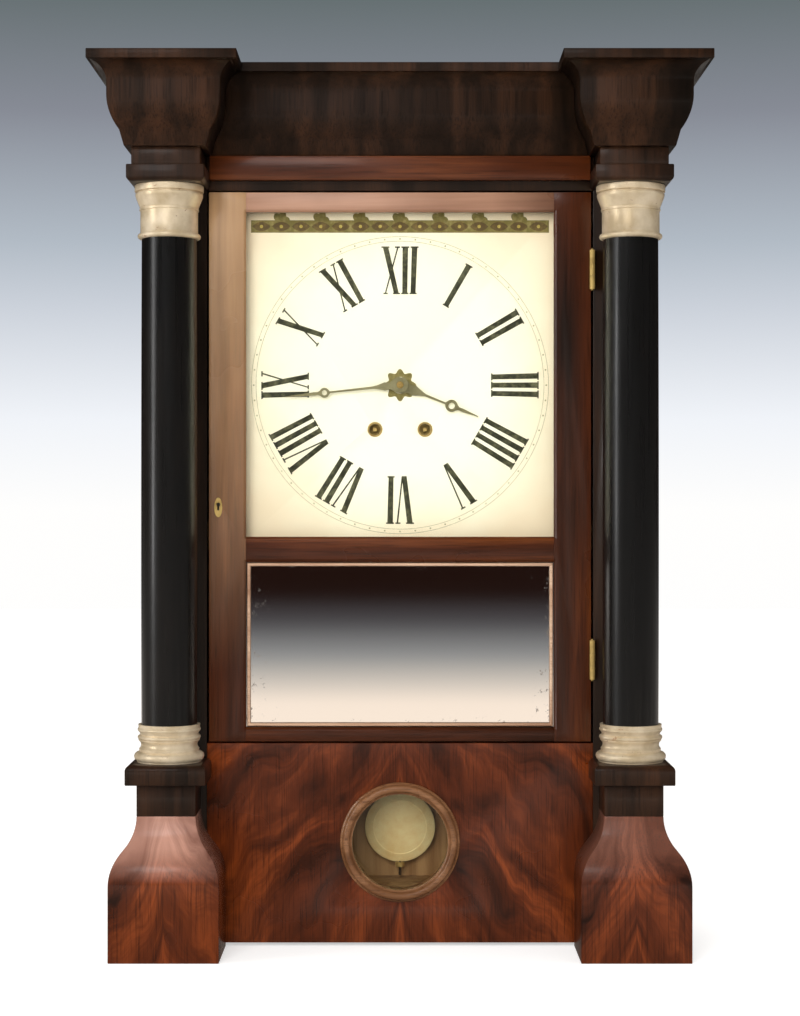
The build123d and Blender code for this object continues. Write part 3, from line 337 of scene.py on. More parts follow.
@dataclass(frozen=True)
class PolishedWood:
    """Mahogany board or veneer under shellac: grain, pores, figure and a painted highlight where light
    catches the polish.
    """

    name: str
    dark: Colour
    middle: Colour
    light: Colour
    grain: Grain = Grain.UPRIGHT
    figure: Figure = Figure.STRAIGHT
    centre_x: float = 0.0
    gloss: float = 0.22
    coat: float = 0.2
    specular: float = 0.5
    painted_sheen: PaintedSheen | None = None

    def stretched(self, shader: Shader, across: float, along: float) -> bpy.types.NodeSocket:
        """Coordinates that are drawn out along the grain.

        Args:
            shader: Material so far.
            across: Scale across the grain.
            along: Scale along the grain.

        Returns:
            The coordinates.
        """
        scale = [across, across, across]
        scale[self.grain.value] = along
        return shader.place(scale=tuple(scale))

    def flame(self, shader: Shader) -> bpy.types.NodeSocket:
        """Feathered crotch figure that rises and spreads from an upright middle line.

        Args:
            shader: Material so far.

        Returns:
            Tone, 0 to 1.
        """
        split = shader.add("ShaderNodeSeparateXYZ")
        shader.join(shader.place(), split.inputs[0])
        side = shader.maths("ABSOLUTE", split.outputs["X"])
        side = shader.maths("ABSOLUTE", shader.maths("SUBTRACT", side, self.centre_x))
        wander = shader.noise(shader.place(scale=(9, 9, 5)), scale=1.0, detail=3.0)
        drop = shader.maths("POWER", shader.maths("MULTIPLY", side, 6.0), 0.62)
        rise = shader.maths("MULTIPLY", split.outputs["Z"], 13.0)
        line = shader.maths("ADD", rise, shader.maths("MULTIPLY", drop, 2.3))
        line = shader.maths("ADD", line, shader.maths("MULTIPLY", wander, 2.4))
        joined = shader.add("ShaderNodeCombineXYZ")
        shader.join(line, joined.inputs["Z"])
        shader.join(shader.maths("MULTIPLY", side, 7.0), joined.inputs["X"])
        broad = shader.noise(joined.outputs[0], scale=1.5, detail=5.0, roughness=0.6, distortion=0.5)
        return shader.spread(broad, 0.3, 0.7)

    def stripes(self, shader: Shader) -> bpy.types.NodeSocket:
        """Ribbon stripes along the grain with slow drifts of tone.

        Args:
            shader: Material so far.

        Returns:
            Tone, 0 to 1.
        """
        ribbons = shader.noise(
            self.stretched(shader, 38, 2.2), scale=1.0, detail=4.0, roughness=0.6, distortion=0.35
        )
        patches = shader.noise(self.stretched(shader, 9, 3.0), scale=1.0, detail=2.0)
        total = shader.maths("ADD", ribbons, shader.maths("MULTIPLY", patches, 0.7))
        return shader.spread(total, 0.55, 1.12)

    def sheen_share(self, shader: Shader) -> bpy.types.NodeSocket:
        """Share of the painted highlight colours, a little uneven.

        Args:
            shader: Material so far.

        Returns:
            The share, 0 to 1.
        """
        split = shader.add("ShaderNodeSeparateXYZ")
        shader.join(shader.place(), split.inputs[0])
        up = shader.spread(split.outputs["Z"], *self.painted_sheen.heights)
        over = shader.spread(split.outputs["X"], *self.painted_sheen.widths)
        share = shader.maths("MULTIPLY", up, over)
        drift = shader.noise(shader.place(scale=(11, 11, 11)), scale=1.0, detail=3.0)
        ground = shader.spread(drift, 0.35, 0.65, self.painted_sheen.amount * 0.8, self.painted_sheen.amount)
        return shader.maths("MULTIPLY", share, ground)

    def build(self) -> bpy.types.Material:
        """Make the material.

        Returns:
            The material.
        """
        shader = Shader(self.name)
        tone = self.flame(shader) if self.figure is Figure.FLAME else self.stripes(shader)
        colour = shader.ramp(tone, ((0.0, self.dark), (0.5, self.middle), (1.0, self.light)))
        fibre = shader.noise(self.stretched(shader, 900, 22), scale=1.0, detail=3.0, roughness=0.65)
        pores = shader.spread(fibre, 0.36, 0.5)
        pore_share = shader.maths("MULTIPLY", shader.maths("SUBTRACT", 1.0, pores), 0.55)
        colour = shader.mix(pore_share, colour, self.dark)
        wear = shader.noise(shader.place(scale=(5, 5, 5)), scale=1.0, detail=4.0)
        if self.painted_sheen:
            # Painted highlight: paler colours where light catches the polish, not a change in the wood.
            sheen_colour = shader.ramp(tone, ((0.0, self.painted_sheen.deep), (1.0, self.painted_sheen.light)))
            colour = shader.mix(self.sheen_share(shader), colour, sheen_colour)
        shader.join(colour, shader.surface.inputs["Base Color"])
        rough = shader.spread(wear, 0.3, 0.7, self.gloss, self.gloss + 0.16)
        shader.join(rough, shader.surface.inputs["Roughness"])
        shader.constants(Coat_Weight=self.coat, Coat_Roughness=0.12, Specular_IOR_Level=self.specular)
        shader.relief(pores, 0.12, 0.0002)
        return shader.material


@dataclass(frozen=True)
class PlainPine:
    """Bare aged pine: yellow brown, with open grain and grime."""

    name: str
    dark: Colour
    light: Colour
    grain: Grain = Grain.UPRIGHT

    def build(self) -> bpy.types.Material:
        """Make the material.

        Returns:
            The material.
        """
        shader = Shader(self.name)
        scale = [22.0, 22.0, 22.0]
        scale[self.grain.value] = 1.3
        rings = shader.noise(
            shader.place(scale=tuple(scale)), scale=3.0, detail=5.0, roughness=0.62, distortion=0.4
        )
        grime = shader.noise(shader.place(scale=(6, 6, 6)), scale=1.0, detail=5.0)
        colour = shader.mix(shader.spread(rings, 0.42, 0.66), self.light, self.dark)
        colour = shader.mix(shader.spread(grime, 0.45, 0.75, 0.0, 0.5), colour, self.dark)
        shader.join(colour, shader.surface.inputs["Base Color"])
        shader.constants(Roughness=0.8)
        shader.relief(rings, 0.2, 0.0004)
        return shader.material


@dataclass(frozen=True)
class Blacked:
    """Black polish over wood, with a soft sheen and rubbed, brownish patches."""

    name: str
    black: Colour
    rubbed: Colour

    def build(self) -> bpy.types.Material:
        """Make the material.

        Returns:
            The material.
        """
        shader = Shader(self.name)
        patches = shader.noise(shader.place(scale=(14, 14, 4)), scale=1.0, detail=5.0, roughness=0.6)
        streaks = shader.noise(shader.place(scale=(260, 260, 6)), scale=1.0, detail=3.0)
        colour = shader.mix(shader.spread(patches, 0.45, 0.75, 0.0, 0.8), self.black, self.rubbed)
        shader.join(colour, shader.surface.inputs["Base Color"])
        shader.join(shader.spread(streaks, 0.3, 0.7, 0.24, 0.4), shader.surface.inputs["Roughness"])
        shader.constants(Coat_Weight=0.15, Coat_Roughness=0.2)
        shader.relief(streaks, 0.05, 0.0001)
        return shader.material


@dataclass(frozen=True)
class GoldLeaf:
    """Water gilding rubbed through to its ground in small patches."""

    name: str
    leaf: Colour
    shade: Colour
    ground: Colour

    def build(self) -> bpy.types.Material:
        """Make the material.

        Returns:
            The material.
        """
        shader = Shader(self.name)
        tone = shader.noise(shader.place(scale=(55, 55, 55)), scale=1.0, detail=4.0)
        rubs = shader.noise(shader.place(scale=(130, 130, 210)), scale=1.0, detail=6.0, roughness=0.7)
        worn = shader.spread(rubs, 0.62, 0.7)
        colour = shader.mix(shader.spread(tone, 0.35, 0.65), self.shade, self.leaf)
        colour = shader.mix(worn, colour, self.ground)
        shader.join(colour, shader.surface.inputs["Base Color"])
        shader.join(shader.spread(worn, 0.0, 1.0, 0.5, 0.05), shader.surface.inputs["Metallic"])
        shader.join(shader.spread(tone, 0.3, 0.7, 0.3, 0.46), shader.surface.inputs["Roughness"])
        shader.relief(rubs, 0.15, 0.0002)
        return shader.material


@dataclass(frozen=True)
class Metal:
    """Plain metal: handling marks, tarnish patches and a drawn or cast surface."""

    name: str
    bright: Colour
    tarnish: Colour
    roughness: float = 0.3
    metallic: float = 1.0
    cast: bool = False

    def build(self) -> bpy.types.Material:
        """Make the material.

        Returns:
            The material.
        """
        shader = Shader(self.name)
        patches = shader.noise(shader.place(scale=(60, 60, 60)), scale=1.0, detail=5.0, roughness=0.65)
        marks = shader.noise(shader.place(scale=(700, 90, 700)), scale=1.0, detail=3.0)
        colour = shader.mix(shader.spread(patches, 0.4, 0.72), self.bright, self.tarnish)
        shader.join(colour, shader.surface.inputs["Base Color"])
        low, high = self.roughness, self.roughness + 0.18
        shader.join(shader.spread(marks, 0.3, 0.7, low, high), shader.surface.inputs["Roughness"])
        shader.constants(Metallic=self.metallic)
        if self.cast:
            pits = shader.noise(shader.place(scale=(420, 420, 420)), scale=1.0, detail=4.0)
            shader.relief(pits, 0.5, 0.0006)
        else:
            shader.relief(marks, 0.04, 0.0001)
        return shader.material


@dataclass(frozen=True)
class OilPaint:
    """Old oil paint on the dial board: darker and warmer towards its edges, faintly crazed."""

    name: str
    middle: Colour
    edge: Colour
    centre: Point3
    reach: float
    crazing: float = 0.12

    def build(self) -> bpy.types.Material:
        """Make the material.

        Returns:
            The material.
        """
        shader = Shader(self.name)
        shift = tuple(-value / self.reach for value in self.centre)
        away = shader.add("ShaderNodeVectorMath", operation="LENGTH")
        scale = 1.0 / self.reach
        shader.join(shader.place(scale=(scale, 0.0, scale), shift=(shift[0], 0.0, shift[2])), away.inputs[0])
        mottle = shader.noise(shader.place(scale=(24, 24, 24)), scale=1.0, detail=5.0, roughness=0.6)
        reach = shader.maths("ADD", away.outputs["Value"], shader.maths("MULTIPLY", mottle, 0.5))
        # Colour turns darker and warmer towards the edges of the dial.
        colour = shader.mix(shader.spread(reach, 0.85, 1.45), self.middle, self.edge)
        cells = shader.add("ShaderNodeTexVoronoi", feature="DISTANCE_TO_EDGE")
        shader.join(shader.place(scale=(170, 170, 170)), cells.inputs["Vector"])
        cracks = shader.spread(cells.outputs["Distance"], 0.0, 0.035, self.crazing, 0.0)
        colour = shader.mix(cracks, colour, tint(150, 132, 96))
        shader.join(colour, shader.surface.inputs["Base Color"])
        shader.constants(Roughness=0.5)
        shader.relief(cells.outputs["Distance"], 0.05, 0.0002)
        return shader.material


@dataclass(frozen=True)
class Ink:
    """Painted lettering or ornament, a little uneven where the brush ran dry."""

    name: str
    full: Colour
    thin: Colour
    metallic: float = 0.0

    def build(self) -> bpy.types.Material:
        """Make the material.

        Returns:
            The material.
        """
        shader = Shader(self.name)
        brush = shader.noise(shader.place(scale=(230, 230, 230)), scale=1.0, detail=4.0, roughness=0.6)
        colour = shader.mix(shader.spread(brush, 0.45, 0.72), self.full, self.thin)
        shader.join(colour, shader.surface.inputs["Base Color"])
        shader.join(shader.spread(brush, 0.3, 0.7, 0.4, 0.6), shader.surface.inputs["Roughness"])
        shader.constants(Metallic=self.metallic)
        return shader.material


@dataclass(frozen=True)
class WindowGlass:
    """Thin old glass: clear, with hardly any cast and slow waves in its surface."""

    name: str
    cast: Colour

    def build(self) -> bpy.types.Material:
        """Make the material.

        Returns:
            The material.
        """
        shader = Shader(self.name)
        shader.tree.nodes.remove(shader.surface)
        clear = shader.add("ShaderNodeBsdfTransparent")
        clear.inputs["Color"].default_value = self.cast
        shine = shader.add("ShaderNodeBsdfGlossy")
        shine.inputs["Roughness"].default_value = 0.03
        waves = shader.noise(shader.place(scale=(14, 14, 9)), scale=1.0, detail=1.0)
        ripple = shader.add("ShaderNodeBump")
        ripple.inputs["Strength"].default_value = 0.02
        ripple.inputs["Distance"].default_value = 0.002
        shader.join(waves, ripple.inputs["Height"])
        shader.join(ripple.outputs["Normal"], shine.inputs["Normal"])
        slant = shader.add("ShaderNodeFresnel")
        slant.inputs["IOR"].default_value = 1.45
        side = shader.add("ShaderNodeNewGeometry")
        outside = shader.maths("SUBTRACT", 1.0, side.outputs["Backfacing"])
        share = shader.maths("MULTIPLY", slant.outputs["Fac"], outside)
        both = shader.cross(share, clear.outputs[0], shine.outputs[0])
        shader.join(both, shader.output.inputs["Surface"])
        return shader.material


@dataclass(frozen=True)
class Silvering:
    """Old looking glass: silver with a warm cast and dark foxing that creeps in from its edges."""

    name: str
    silver: Colour
    foxing: Colour
    centre: Point3
    half: Point2

    def build(self) -> bpy.types.Material:
        """Make the material.

        Returns:
            The material.
        """
        shader = Shader(self.name)
        split = shader.add("ShaderNodeSeparateXYZ")
        shift = (-self.centre[0] / self.half[0], 0.0, -self.centre[2] / self.half[1])
        scale = (1.0 / self.half[0], 1.0, 1.0 / self.half[1])
        shader.join(shader.place(scale=scale, shift=shift), split.inputs[0])
        side = shader.maths("ABSOLUTE", split.outputs["X"])
        rise = shader.maths("ABSOLUTE", split.outputs["Z"])
        edge = shader.maths("MAXIMUM", side, rise)
        specks = shader.noise(shader.place(scale=(190, 190, 190)), scale=1.0, detail=6.0, roughness=0.75)
        from_edge = shader.maths("MULTIPLY", edge, 0.5)
        creep = shader.maths("ADD", from_edge, shader.maths("MULTIPLY", specks, 0.7))
        foxed = shader.spread(creep, 0.86, 1.0)
        shader.join(shader.mix(foxed, self.silver, self.foxing), shader.surface.inputs["Base Color"])
        shader.join(shader.spread(foxed, 0.0, 1.0, 0.035, 0.5), shader.surface.inputs["Roughness"])
        shader.constants(Metallic=1.0)
        return shader.material


@dataclass(frozen=True)
class Twine:
    """Plied flax cord, seen as slanting bands of light and shade."""

    name: str
    light: Colour
    dark: Colour

    def build(self) -> bpy.types.Material:
        """Make the material.

        Returns:
            The material.
        """
        shader = Shader(self.name)
        plies = shader.add("ShaderNodeTexWave", wave_type="BANDS", bands_direction="DIAGONAL")
        shader.join(shader.place(scale=(900, 900, 900)), plies.inputs["Vector"])
        plies.inputs["Scale"].default_value = 0.5
        colour = shader.mix(plies.outputs["Fac"], self.dark, self.light)
        shader.join(colour, shader.surface.inputs["Base Color"])
        shader.constants(Roughness=0.9)
        shader.relief(plies.outputs["Fac"], 0.5, 0.0003)
        return shader.material


class Palette:
    """Every finish on the clock, made once."""

    foot_half: float = 46.5
    dial_reach: float = 150.0

    def __init__(self) -> None:
        """Make the materials."""
        self.cornice_tones = (tint(10, 5, 2), tint(32, 18, 8), tint(60, 34, 16))
        self.veneer_tones = (tint(26, 9, 2), tint(70, 30, 8), tint(120, 62, 20))
        self.crotch_tones = (tint(30, 9, 2), tint(86, 35, 10), tint(144, 66, 24))
        self.make_case_woods()
        self.make_door_woods()
        self.make_crotch_woods()
        self.make_metals()
        self.make_dial_paints()
        self.make_glass()
        self.black = Blacked("black_polish", tint(9, 9, 9), tint(24, 18, 14)).build()
        self.gilt = GoldLeaf(
            "gold_leaf", leaf=tint(238, 220, 190), shade=tint(208, 186, 150), ground=tint(150, 104, 70)
        ).build()
        self.cord = Twine("flax_cord", light=tint(168, 142, 96), dark=tint(98, 76, 44)).build()

    def make_case_woods(self) -> None:
        """Woods of the cornice, the case and its back."""
        self.cornice_wood = PolishedWood(
            "cornice_veneer", *self.cornice_tones, gloss=0.34, coat=0.1, specular=0.3
        ).build()
        self.dark_wood = PolishedWood("case_mahogany", *self.cornice_tones, gloss=0.3).build()
        self.side_wood = PolishedWood("side_mahogany", *self.veneer_tones, gloss=0.3).build()
        self.strip_wood = PolishedWood("strip_veneer", *self.veneer_tones, Grain.ACROSS).build()
        self.pine = PlainPine("aged_pine", dark=tint(120, 86, 52), light=tint(166, 130, 86)).build()

    def make_door_woods(self) -> None:
        """Woods of the door, with a painted highlight along its top and down its left side."""
        # Painted highlights where light catches the top rail and the upper left stile.
        rail_sheen = PaintedSheen(
            tint(134, 92, 68), tint(206, 162, 134), heights=(0.634, 0.64), widths=(0.165, 0.08), amount=0.85
        )
        stile_sheen = PaintedSheen(
            tint(104, 70, 40), tint(186, 150, 108), heights=(0.24, 0.62), widths=(0.0, -0.14), amount=0.85
        )
        self.rail_wood = PolishedWood("rail_veneer", *self.veneer_tones, Grain.ACROSS, painted_sheen=rail_sheen).build()
        self.stile_wood = PolishedWood("stile_veneer", *self.veneer_tones, painted_sheen=stile_sheen).build()
        self.bead_wood = PolishedWood(
            "bead_maple", tint(140, 100, 74), tint(186, 150, 122), tint(214, 184, 156), Grain.ACROSS
        ).build()

    def make_crotch_woods(self) -> None:
        """Flame veneers of the base panel and the feet, the feet with a painted highlight on their shoulders,
        and the plainer wood of the window's ring.
        """
        # Painted highlight on the feet's ogee shoulders, stronger on the left foot.
        foot_sheen = PaintedSheen(
            tint(120, 76, 62), tint(212, 164, 144), heights=(0.066, 0.094), widths=(0.36, -0.24), amount=0.85
        )
        foot_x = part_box("feet")[1].x - mm(self.foot_half)
        self.panel_wood = PolishedWood("panel_crotch", *self.crotch_tones, figure=Figure.FLAME).build()
        self.foot_wood = PolishedWood(
            "foot_crotch", *self.crotch_tones, figure=Figure.FLAME, centre_x=foot_x, gloss=0.2, painted_sheen=foot_sheen
        ).build()
        self.ring_wood = PolishedWood(
            "ring_veneer", tint(58, 32, 18), tint(112, 74, 46), tint(156, 112, 78), Grain.ACROSS, gloss=0.2
        ).build()

    def make_metals(self) -> None:
        """Brass, steel and iron."""
        self.brass = Metal(
            "lacquered_brass", tint(222, 190, 116), tint(164, 132, 74), roughness=0.3, metallic=0.55
        ).build()
        # Brass of the bob, made paler and less metallic than the other brass so that it reads as lit inside
        # the dark case: painted light.
        self.bob_brass = Metal(
            "bob_brass", tint(255, 232, 168), tint(244, 208, 138), roughness=0.34, metallic=0.25
        ).build()
        self.steel = Metal("steel", tint(150, 150, 148), tint(92, 86, 78), roughness=0.32).build()
        self.hand_steel = Metal(
            "painted_steel", tint(122, 116, 82), tint(150, 144, 108), roughness=0.4, metallic=0.3
        ).build()
        self.iron = Metal(
            "cast_iron", tint(46, 44, 42), tint(74, 50, 36), roughness=0.6, metallic=0.7, cast=True
        ).build()

    def make_dial_paints(self) -> None:
        """Ground, lettering and ornament of the dial."""
        low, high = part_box("dial")
        middle = (low + high) / 2
        self.dial_paint = OilPaint(
            "dial_paint", tint(253, 250, 222), tint(238, 222, 190), tuple(middle), mm(self.dial_reach)
        ).build()
        self.numeral_ink = Ink("numeral_ink", tint(46, 48, 30), tint(104, 104, 74)).build()
        self.fine_ink = Ink("fine_ink", tint(170, 166, 128), tint(206, 202, 166)).build()
        self.band_olive = Ink("band_olive", tint(112, 102, 48), tint(150, 138, 84)).build()
        self.band_dark = Ink("band_umber", tint(84, 66, 30), tint(118, 98, 52)).build()
        self.band_gold = Ink("band_gold", tint(178, 160, 78), tint(206, 190, 116), metallic=0.4).build()

    def make_glass(self) -> None:
        """Window glass and looking glass."""
        low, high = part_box("mirror")
        middle = (low + high) / 2
        half = (high - low) / 2
        self.glass = WindowGlass("old_glass", tint(254, 254, 253)).build()
        self.mirror = Silvering(
            "looking_glass",
            silver=tint(250, 243, 236),
            foxing=tint(70, 56, 44),
            centre=tuple(middle),
            half=(half.x, half.z),
        ).build()


# Shapes


def joint_named(name: str) -> dict:
    """Record of one of the frame's joints."""
    return next(joint for joint in frame["joints"] if joint["name"] == name)


def span(node: str) -> Point3:
    """Size of a CAD node's box in millimetres."""
    low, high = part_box(node)
    return tuple((end - start) * 1000 for start, end in zip(low, high))


def linked(name: str, data: bpy.types.ID) -> bpy.types.Object:
    """Object that holds the data, linked to the scene.

    Args:
        name: Name of the object.
        data: Mesh, curve, light or camera.

    Returns:
        The new object.
    """
    piece = bpy.data.objects.new(name, data)
    bpy.context.scene.collection.objects.link(piece)
    return piece


def wire(name: str, points: Sequence[Point3], edges: Sequence[tuple[int, int]]) -> bpy.types.Object:
    """Object of points and edges alone, which a tree then works on.

    Args:
        name: Name of the piece.
        points: Points in metres.
        edges: Indices of each edge's ends.

    Returns:
        The new object.
    """
    mesh = bpy.data.meshes.new(name)
    mesh.from_pydata([tuple(point) for point in points], list(edges), [])
    return linked(name, mesh)


def bare_mesh(name: str, points: Sequence[Point3], faces: Sequence[Sequence[int]]) -> bpy.types.Object:
    """Object from points and faces, at the origin.

    Args:
        name: Name of the piece.
        points: Corner points in metres.
        faces: Indices of each face's corners.

    Returns:
        The new object, linked to the scene.
    """
    mesh = bpy.data.meshes.new(name)
    mesh.from_pydata([tuple(point) for point in points], [], [list(face) for face in faces])
    mesh.update()
    return linked(name, mesh)


def shade_by_angle(piece: bpy.types.Object, limit: float = 32.0) -> None:
    """Smooth shading, with edges sharper than the limit in degrees kept crisp.

    Args:
        piece: Piece to shade.
        limit: Sharpest fold that stays smooth, degrees.
    """
    work = bmesh.new()
    work.from_mesh(piece.data)
    for face in work.faces:
        face.smooth = True
    for edge in work.edges:
        folded = len(edge.link_faces) == 2 and edge.calc_face_angle(0.0) > math.radians(limit)
        edge.smooth = not folded
    work.to_mesh(piece.data)
    work.free()


def outward(piece: bpy.types.Object) -> None:
    """Merge doubled points and turn every face outwards.

    Args:
        piece: Piece to mend.
    """
    work = bmesh.new()
    work.from_mesh(piece.data)
    bmesh.ops.remove_doubles(work, verts=work.verts, dist=1e-6)
    bmesh.ops.recalc_face_normals(work, faces=work.faces)
    work.to_mesh(piece.data)
    work.free()


def settled(piece: bpy.types.Object) -> bpy.types.Object:
    """Apply an object's modifiers, or turn its curve or text into a mesh, under the same name.

    Args:
        piece: Object with live modifiers or curve data.

    Returns:
        A plain mesh object at the same place.
    """
    bpy.context.view_layer.update()
    graph = bpy.context.evaluated_depsgraph_get()
    mesh = bpy.data.meshes.new_from_object(piece.evaluated_get(graph))
    name = piece.name
    materials = list(piece.data.materials)
    bpy.data.objects.remove(piece)
    plain = linked(name, mesh)
    if not mesh.materials:
        for material in materials:
            mesh.materials.append(material)
    return plain


def softened(
    name: str, node: str, width: float = 0.8, angle: float = 35.0, crisp: float = 27.0
) -> bpy.types.Object:
    """Copy of a CAD node with its edges eased.

    Args:
        name: Name of the new piece.
        node: CAD node to copy.
        width: Width of the eased edge, millimetres.
        angle: Least fold that is eased, degrees.
        crisp: Folds sharper than this stay crisp, degrees.

    Returns:
        The new piece.
    """
    mesh = frame["nodes"][node].data.copy()
    mesh.materials.clear()
    piece = linked(name, mesh)
    work = bmesh.new()
    work.from_mesh(mesh)
    bmesh.ops.remove_doubles(work, verts=work.verts, dist=1e-6)
    bmesh.ops.dissolve_limit(
        work, angle_limit=math.radians(0.5), verts=work.verts, edges=work.edges, delimit={"NORMAL"}
    )
    for face in work.faces:
        face.smooth = True
    work.to_mesh(mesh)
    work.free()
    bevel = piece.modifiers.new("eased_edges", "BEVEL")
    bevel.width = mm(width)
    bevel.segments = 2
    bevel.limit_method = "ANGLE"
    bevel.angle_limit = math.radians(angle)
    plain = settled(piece)
    shade_by_angle(plain, crisp)
    return plain


def bar(low: Point3, high: Point3) -> tuple[list[Point3], list[list[int]]]:
    """Corners and faces of a box between two corners.

    Args:
        low: Lowest corner.
        high: Highest corner.

    Returns:
        Points and faces.
    """
    points = [(x, y, z) for x in (low[0], high[0]) for y in (low[1], high[1]) for z in (low[2], high[2])]
    faces = [[0, 1, 3, 2], [4, 6, 7, 5], [0, 4, 5, 1], [2, 3, 7, 6], [0, 2, 6, 4], [1, 5, 7, 3]]
    return points, faces


def arc(middle: Point2, radius: float, start: float, end: float, steps: int = 8) -> list[Point2]:
    """Points along an arc, angles in degrees.

    Args:
        middle: Centre of the circle.
        radius: Radius.
        start: First angle.
        end: Last angle.
        steps: Number of steps.

    Returns:
        The points, both ends among them.
    """
    found = []
    for number in range(steps + 1):
        angle = math.radians(start + (end - start) * number / steps)
        found.append((middle[0] + radius * math.cos(angle), middle[1] + radius * math.sin(angle)))
    return found


def flat_piece(
    name: str, outlines: Sequence[Sequence[Point2]], thickness: float, ease: float = 0.0
) -> bpy.types.Object:
    """Flat piece cut to outlines in the front view, the first outside and the rest holes.

    Args:
        name: Name of the piece.
        outlines: Closed outlines, X by Z in millimetres.
        thickness: Thickness in millimetres.
        ease: Rounding of its edges in millimetres.

    Returns:
        The piece with its back at Y 0 and its face towards the front.
    """
    curve = bpy.data.curves.new(name, "CURVE")
    curve.dimensions = "2D"
    curve.fill_mode = "BOTH"
    curve.extrude = mm(thickness / 2 - ease)
    curve.bevel_depth = mm(ease)
    curve.bevel_resolution = 1
    curve.offset = -mm(ease)
    for outline in outlines:
        spline = curve.splines.new("POLY")
        spline.points.add(len(outline) - 1)
        for place, (x, z) in zip(spline.points, outline):
            place.co = (mm(x), mm(z), 0.0, 1.0)
        spline.use_cyclic_u = True
    plain = settled(linked(name, curve))
    upright = Matrix.Translation((0, -mm(thickness / 2), 0)) @ Matrix.Rotation(math.radians(90), 4, "X")
    plain.data.transform(upright)
    return plain


class GeometryTree(Tree):
    """A geometry node tree with named sizes, run on a mesh and then taken off it again."""

    def __init__(self, name: str) -> None:
        """Start an empty tree.

        Args:
            name: Name of the tree.
        """
        super().__init__(bpy.data.node_groups.new(name, "GeometryNodeTree"))
        for side in ("INPUT", "OUTPUT"):
            self.tree.interface.new_socket("Geometry", in_out=side, socket_type="NodeSocketGeometry")
        self.entry = self.tree.nodes.new("NodeGroupInput")
        self.exit = self.tree.nodes.new("NodeGroupOutput")
        self.keys: dict[str, str] = {}

    def size(self, name: str, value: float | int) -> bpy.types.NodeSocket:
        """Add a named input with its usual value.

        Args:
            name: Name of the input.
            value: Usual value, whole for a count.

        Returns:
            The socket to read it from.
        """
        kind = "NodeSocketInt" if isinstance(value, int) else "NodeSocketFloat"
        made = self.tree.interface.new_socket(name, in_out="INPUT", socket_type=kind)
        made.default_value = value
        self.keys[name] = made.identifier
        return self.entry.outputs[name]

    def finish(self, geometry: bpy.types.NodeSocket, material: bpy.types.Material) -> None:
        """End the tree: realize what is instanced, set its material and hand it out.

        Args:
            geometry: Geometry to hand out.
            material: Finish.
        """
        real = self.add("GeometryNodeRealizeInstances")
        dress = self.add("GeometryNodeSetMaterial")
        dress.inputs["Material"].default_value = material
        self.feed(real.inputs["Geometry"], geometry)
        self.feed(dress.inputs["Geometry"], real.outputs["Geometry"])
        self.feed(self.exit.inputs["Geometry"], dress.outputs["Geometry"])

    def run(
        self, name: str, base: bpy.types.Object, sizes: dict[str, float | int] | None = None
    ) -> bpy.types.Object:
        """Run the tree on an object and keep the result as a plain mesh.

        Args:
            name: Name of the finished piece.
            base: Object that the tree works on, which is used up.
            sizes: Values for named inputs that differ from the usual ones.

        Returns:
            The finished piece.
        """
        base.name = name
        modifier = base.modifiers.new("tree", "NODES")
        modifier.node_group = self.tree
        for key, value in (sizes or {}).items():
            modifier[self.keys[key]] = value
        return settled(base)


def turning_tree(material: bpy.types.Material) -> GeometryTree:
    """Tree that turns a profile round Z, as a lathe does.

    Args:
        material: Finish of the turned piece.

    Returns:
        A tree whose base mesh holds the profile's points in order, radius in X and height in Z.
    """
    tree = GeometryTree("turning")
    segments = tree.size("Segments", 96)
    count = tree.add("GeometryNodeAttributeDomainSize", component="MESH")
    tree.feed(count.inputs["Geometry"], tree.entry.outputs["Geometry"])
    rows = count.outputs["Point Count"]
    grid = tree.add("GeometryNodeMeshGrid")
    tree.feed(grid.inputs["Vertices X"], tree.maths("ADD", segments, 1.0))
    tree.feed(grid.inputs["Vertices Y"], rows)
    index = tree.add("GeometryNodeInputIndex")
    step = tree.maths("MODULO", index.outputs[0], rows)
    turn = tree.maths("FLOOR", tree.maths("DIVIDE", tree.maths("ADD", index.outputs[0], 0.5), rows))
    angle = tree.maths("DIVIDE", tree.maths("MULTIPLY", turn, math.tau), segments)
    sample = tree.add("GeometryNodeSampleIndex", data_type="FLOAT_VECTOR", domain="POINT")
    place = tree.add("GeometryNodeInputPosition")
    tree.feed(sample.inputs["Geometry"], tree.entry.outputs["Geometry"])
    tree.feed(sample.inputs["Value"], place.outputs[0])
    tree.feed(sample.inputs["Index"], step)
    split = tree.add("ShaderNodeSeparateXYZ")
    tree.feed(split.inputs[0], sample.outputs["Value"])
    joined = tree.add("ShaderNodeCombineXYZ")
    tree.feed(joined.inputs["X"], tree.maths("MULTIPLY", split.outputs["X"], tree.maths("COSINE", angle)))
    tree.feed(joined.inputs["Y"], tree.maths("MULTIPLY", split.outputs["X"], tree.maths("SINE", angle)))
    tree.feed(joined.inputs["Z"], split.outputs["Z"])
    shape = tree.add("GeometryNodeSetPosition")
    tree.feed(shape.inputs["Geometry"], grid.outputs["Mesh"])
    tree.feed(shape.inputs["Position"], joined.outputs[0])
    tree.finish(shape.outputs["Geometry"], material)
    return tree


def turned(
    name: str,
    profile: Sequence[Point2],
    material: bpy.types.Material,
    move: Matrix,
    segments: int = 96,
    crisp: float = 40.0,
) -> bpy.types.Object:
    """Turned piece from half its section.

    Args:
        name: Name of the piece.
        profile: Radius and height of each point, millimetres. It may end on the axis.
        material: Finish.
        move: Place of the piece, from upright on the origin.
        segments: Steps round the circle.
        crisp: Folds sharper than this stay crisp, degrees.

    Returns:
        The piece, closed and facing outwards.
    """
    points = [(mm(radius), 0.0, mm(height)) for radius, height in profile]
    edges = [(number, number + 1) for number in range(len(points) - 1)]
    base = wire(name, points, edges)
    piece = turning_tree(material).run(name, base, {"Segments": segments})
    outward(piece)
    piece.data.transform(move)
    shade_by_angle(piece, crisp)
    return piece


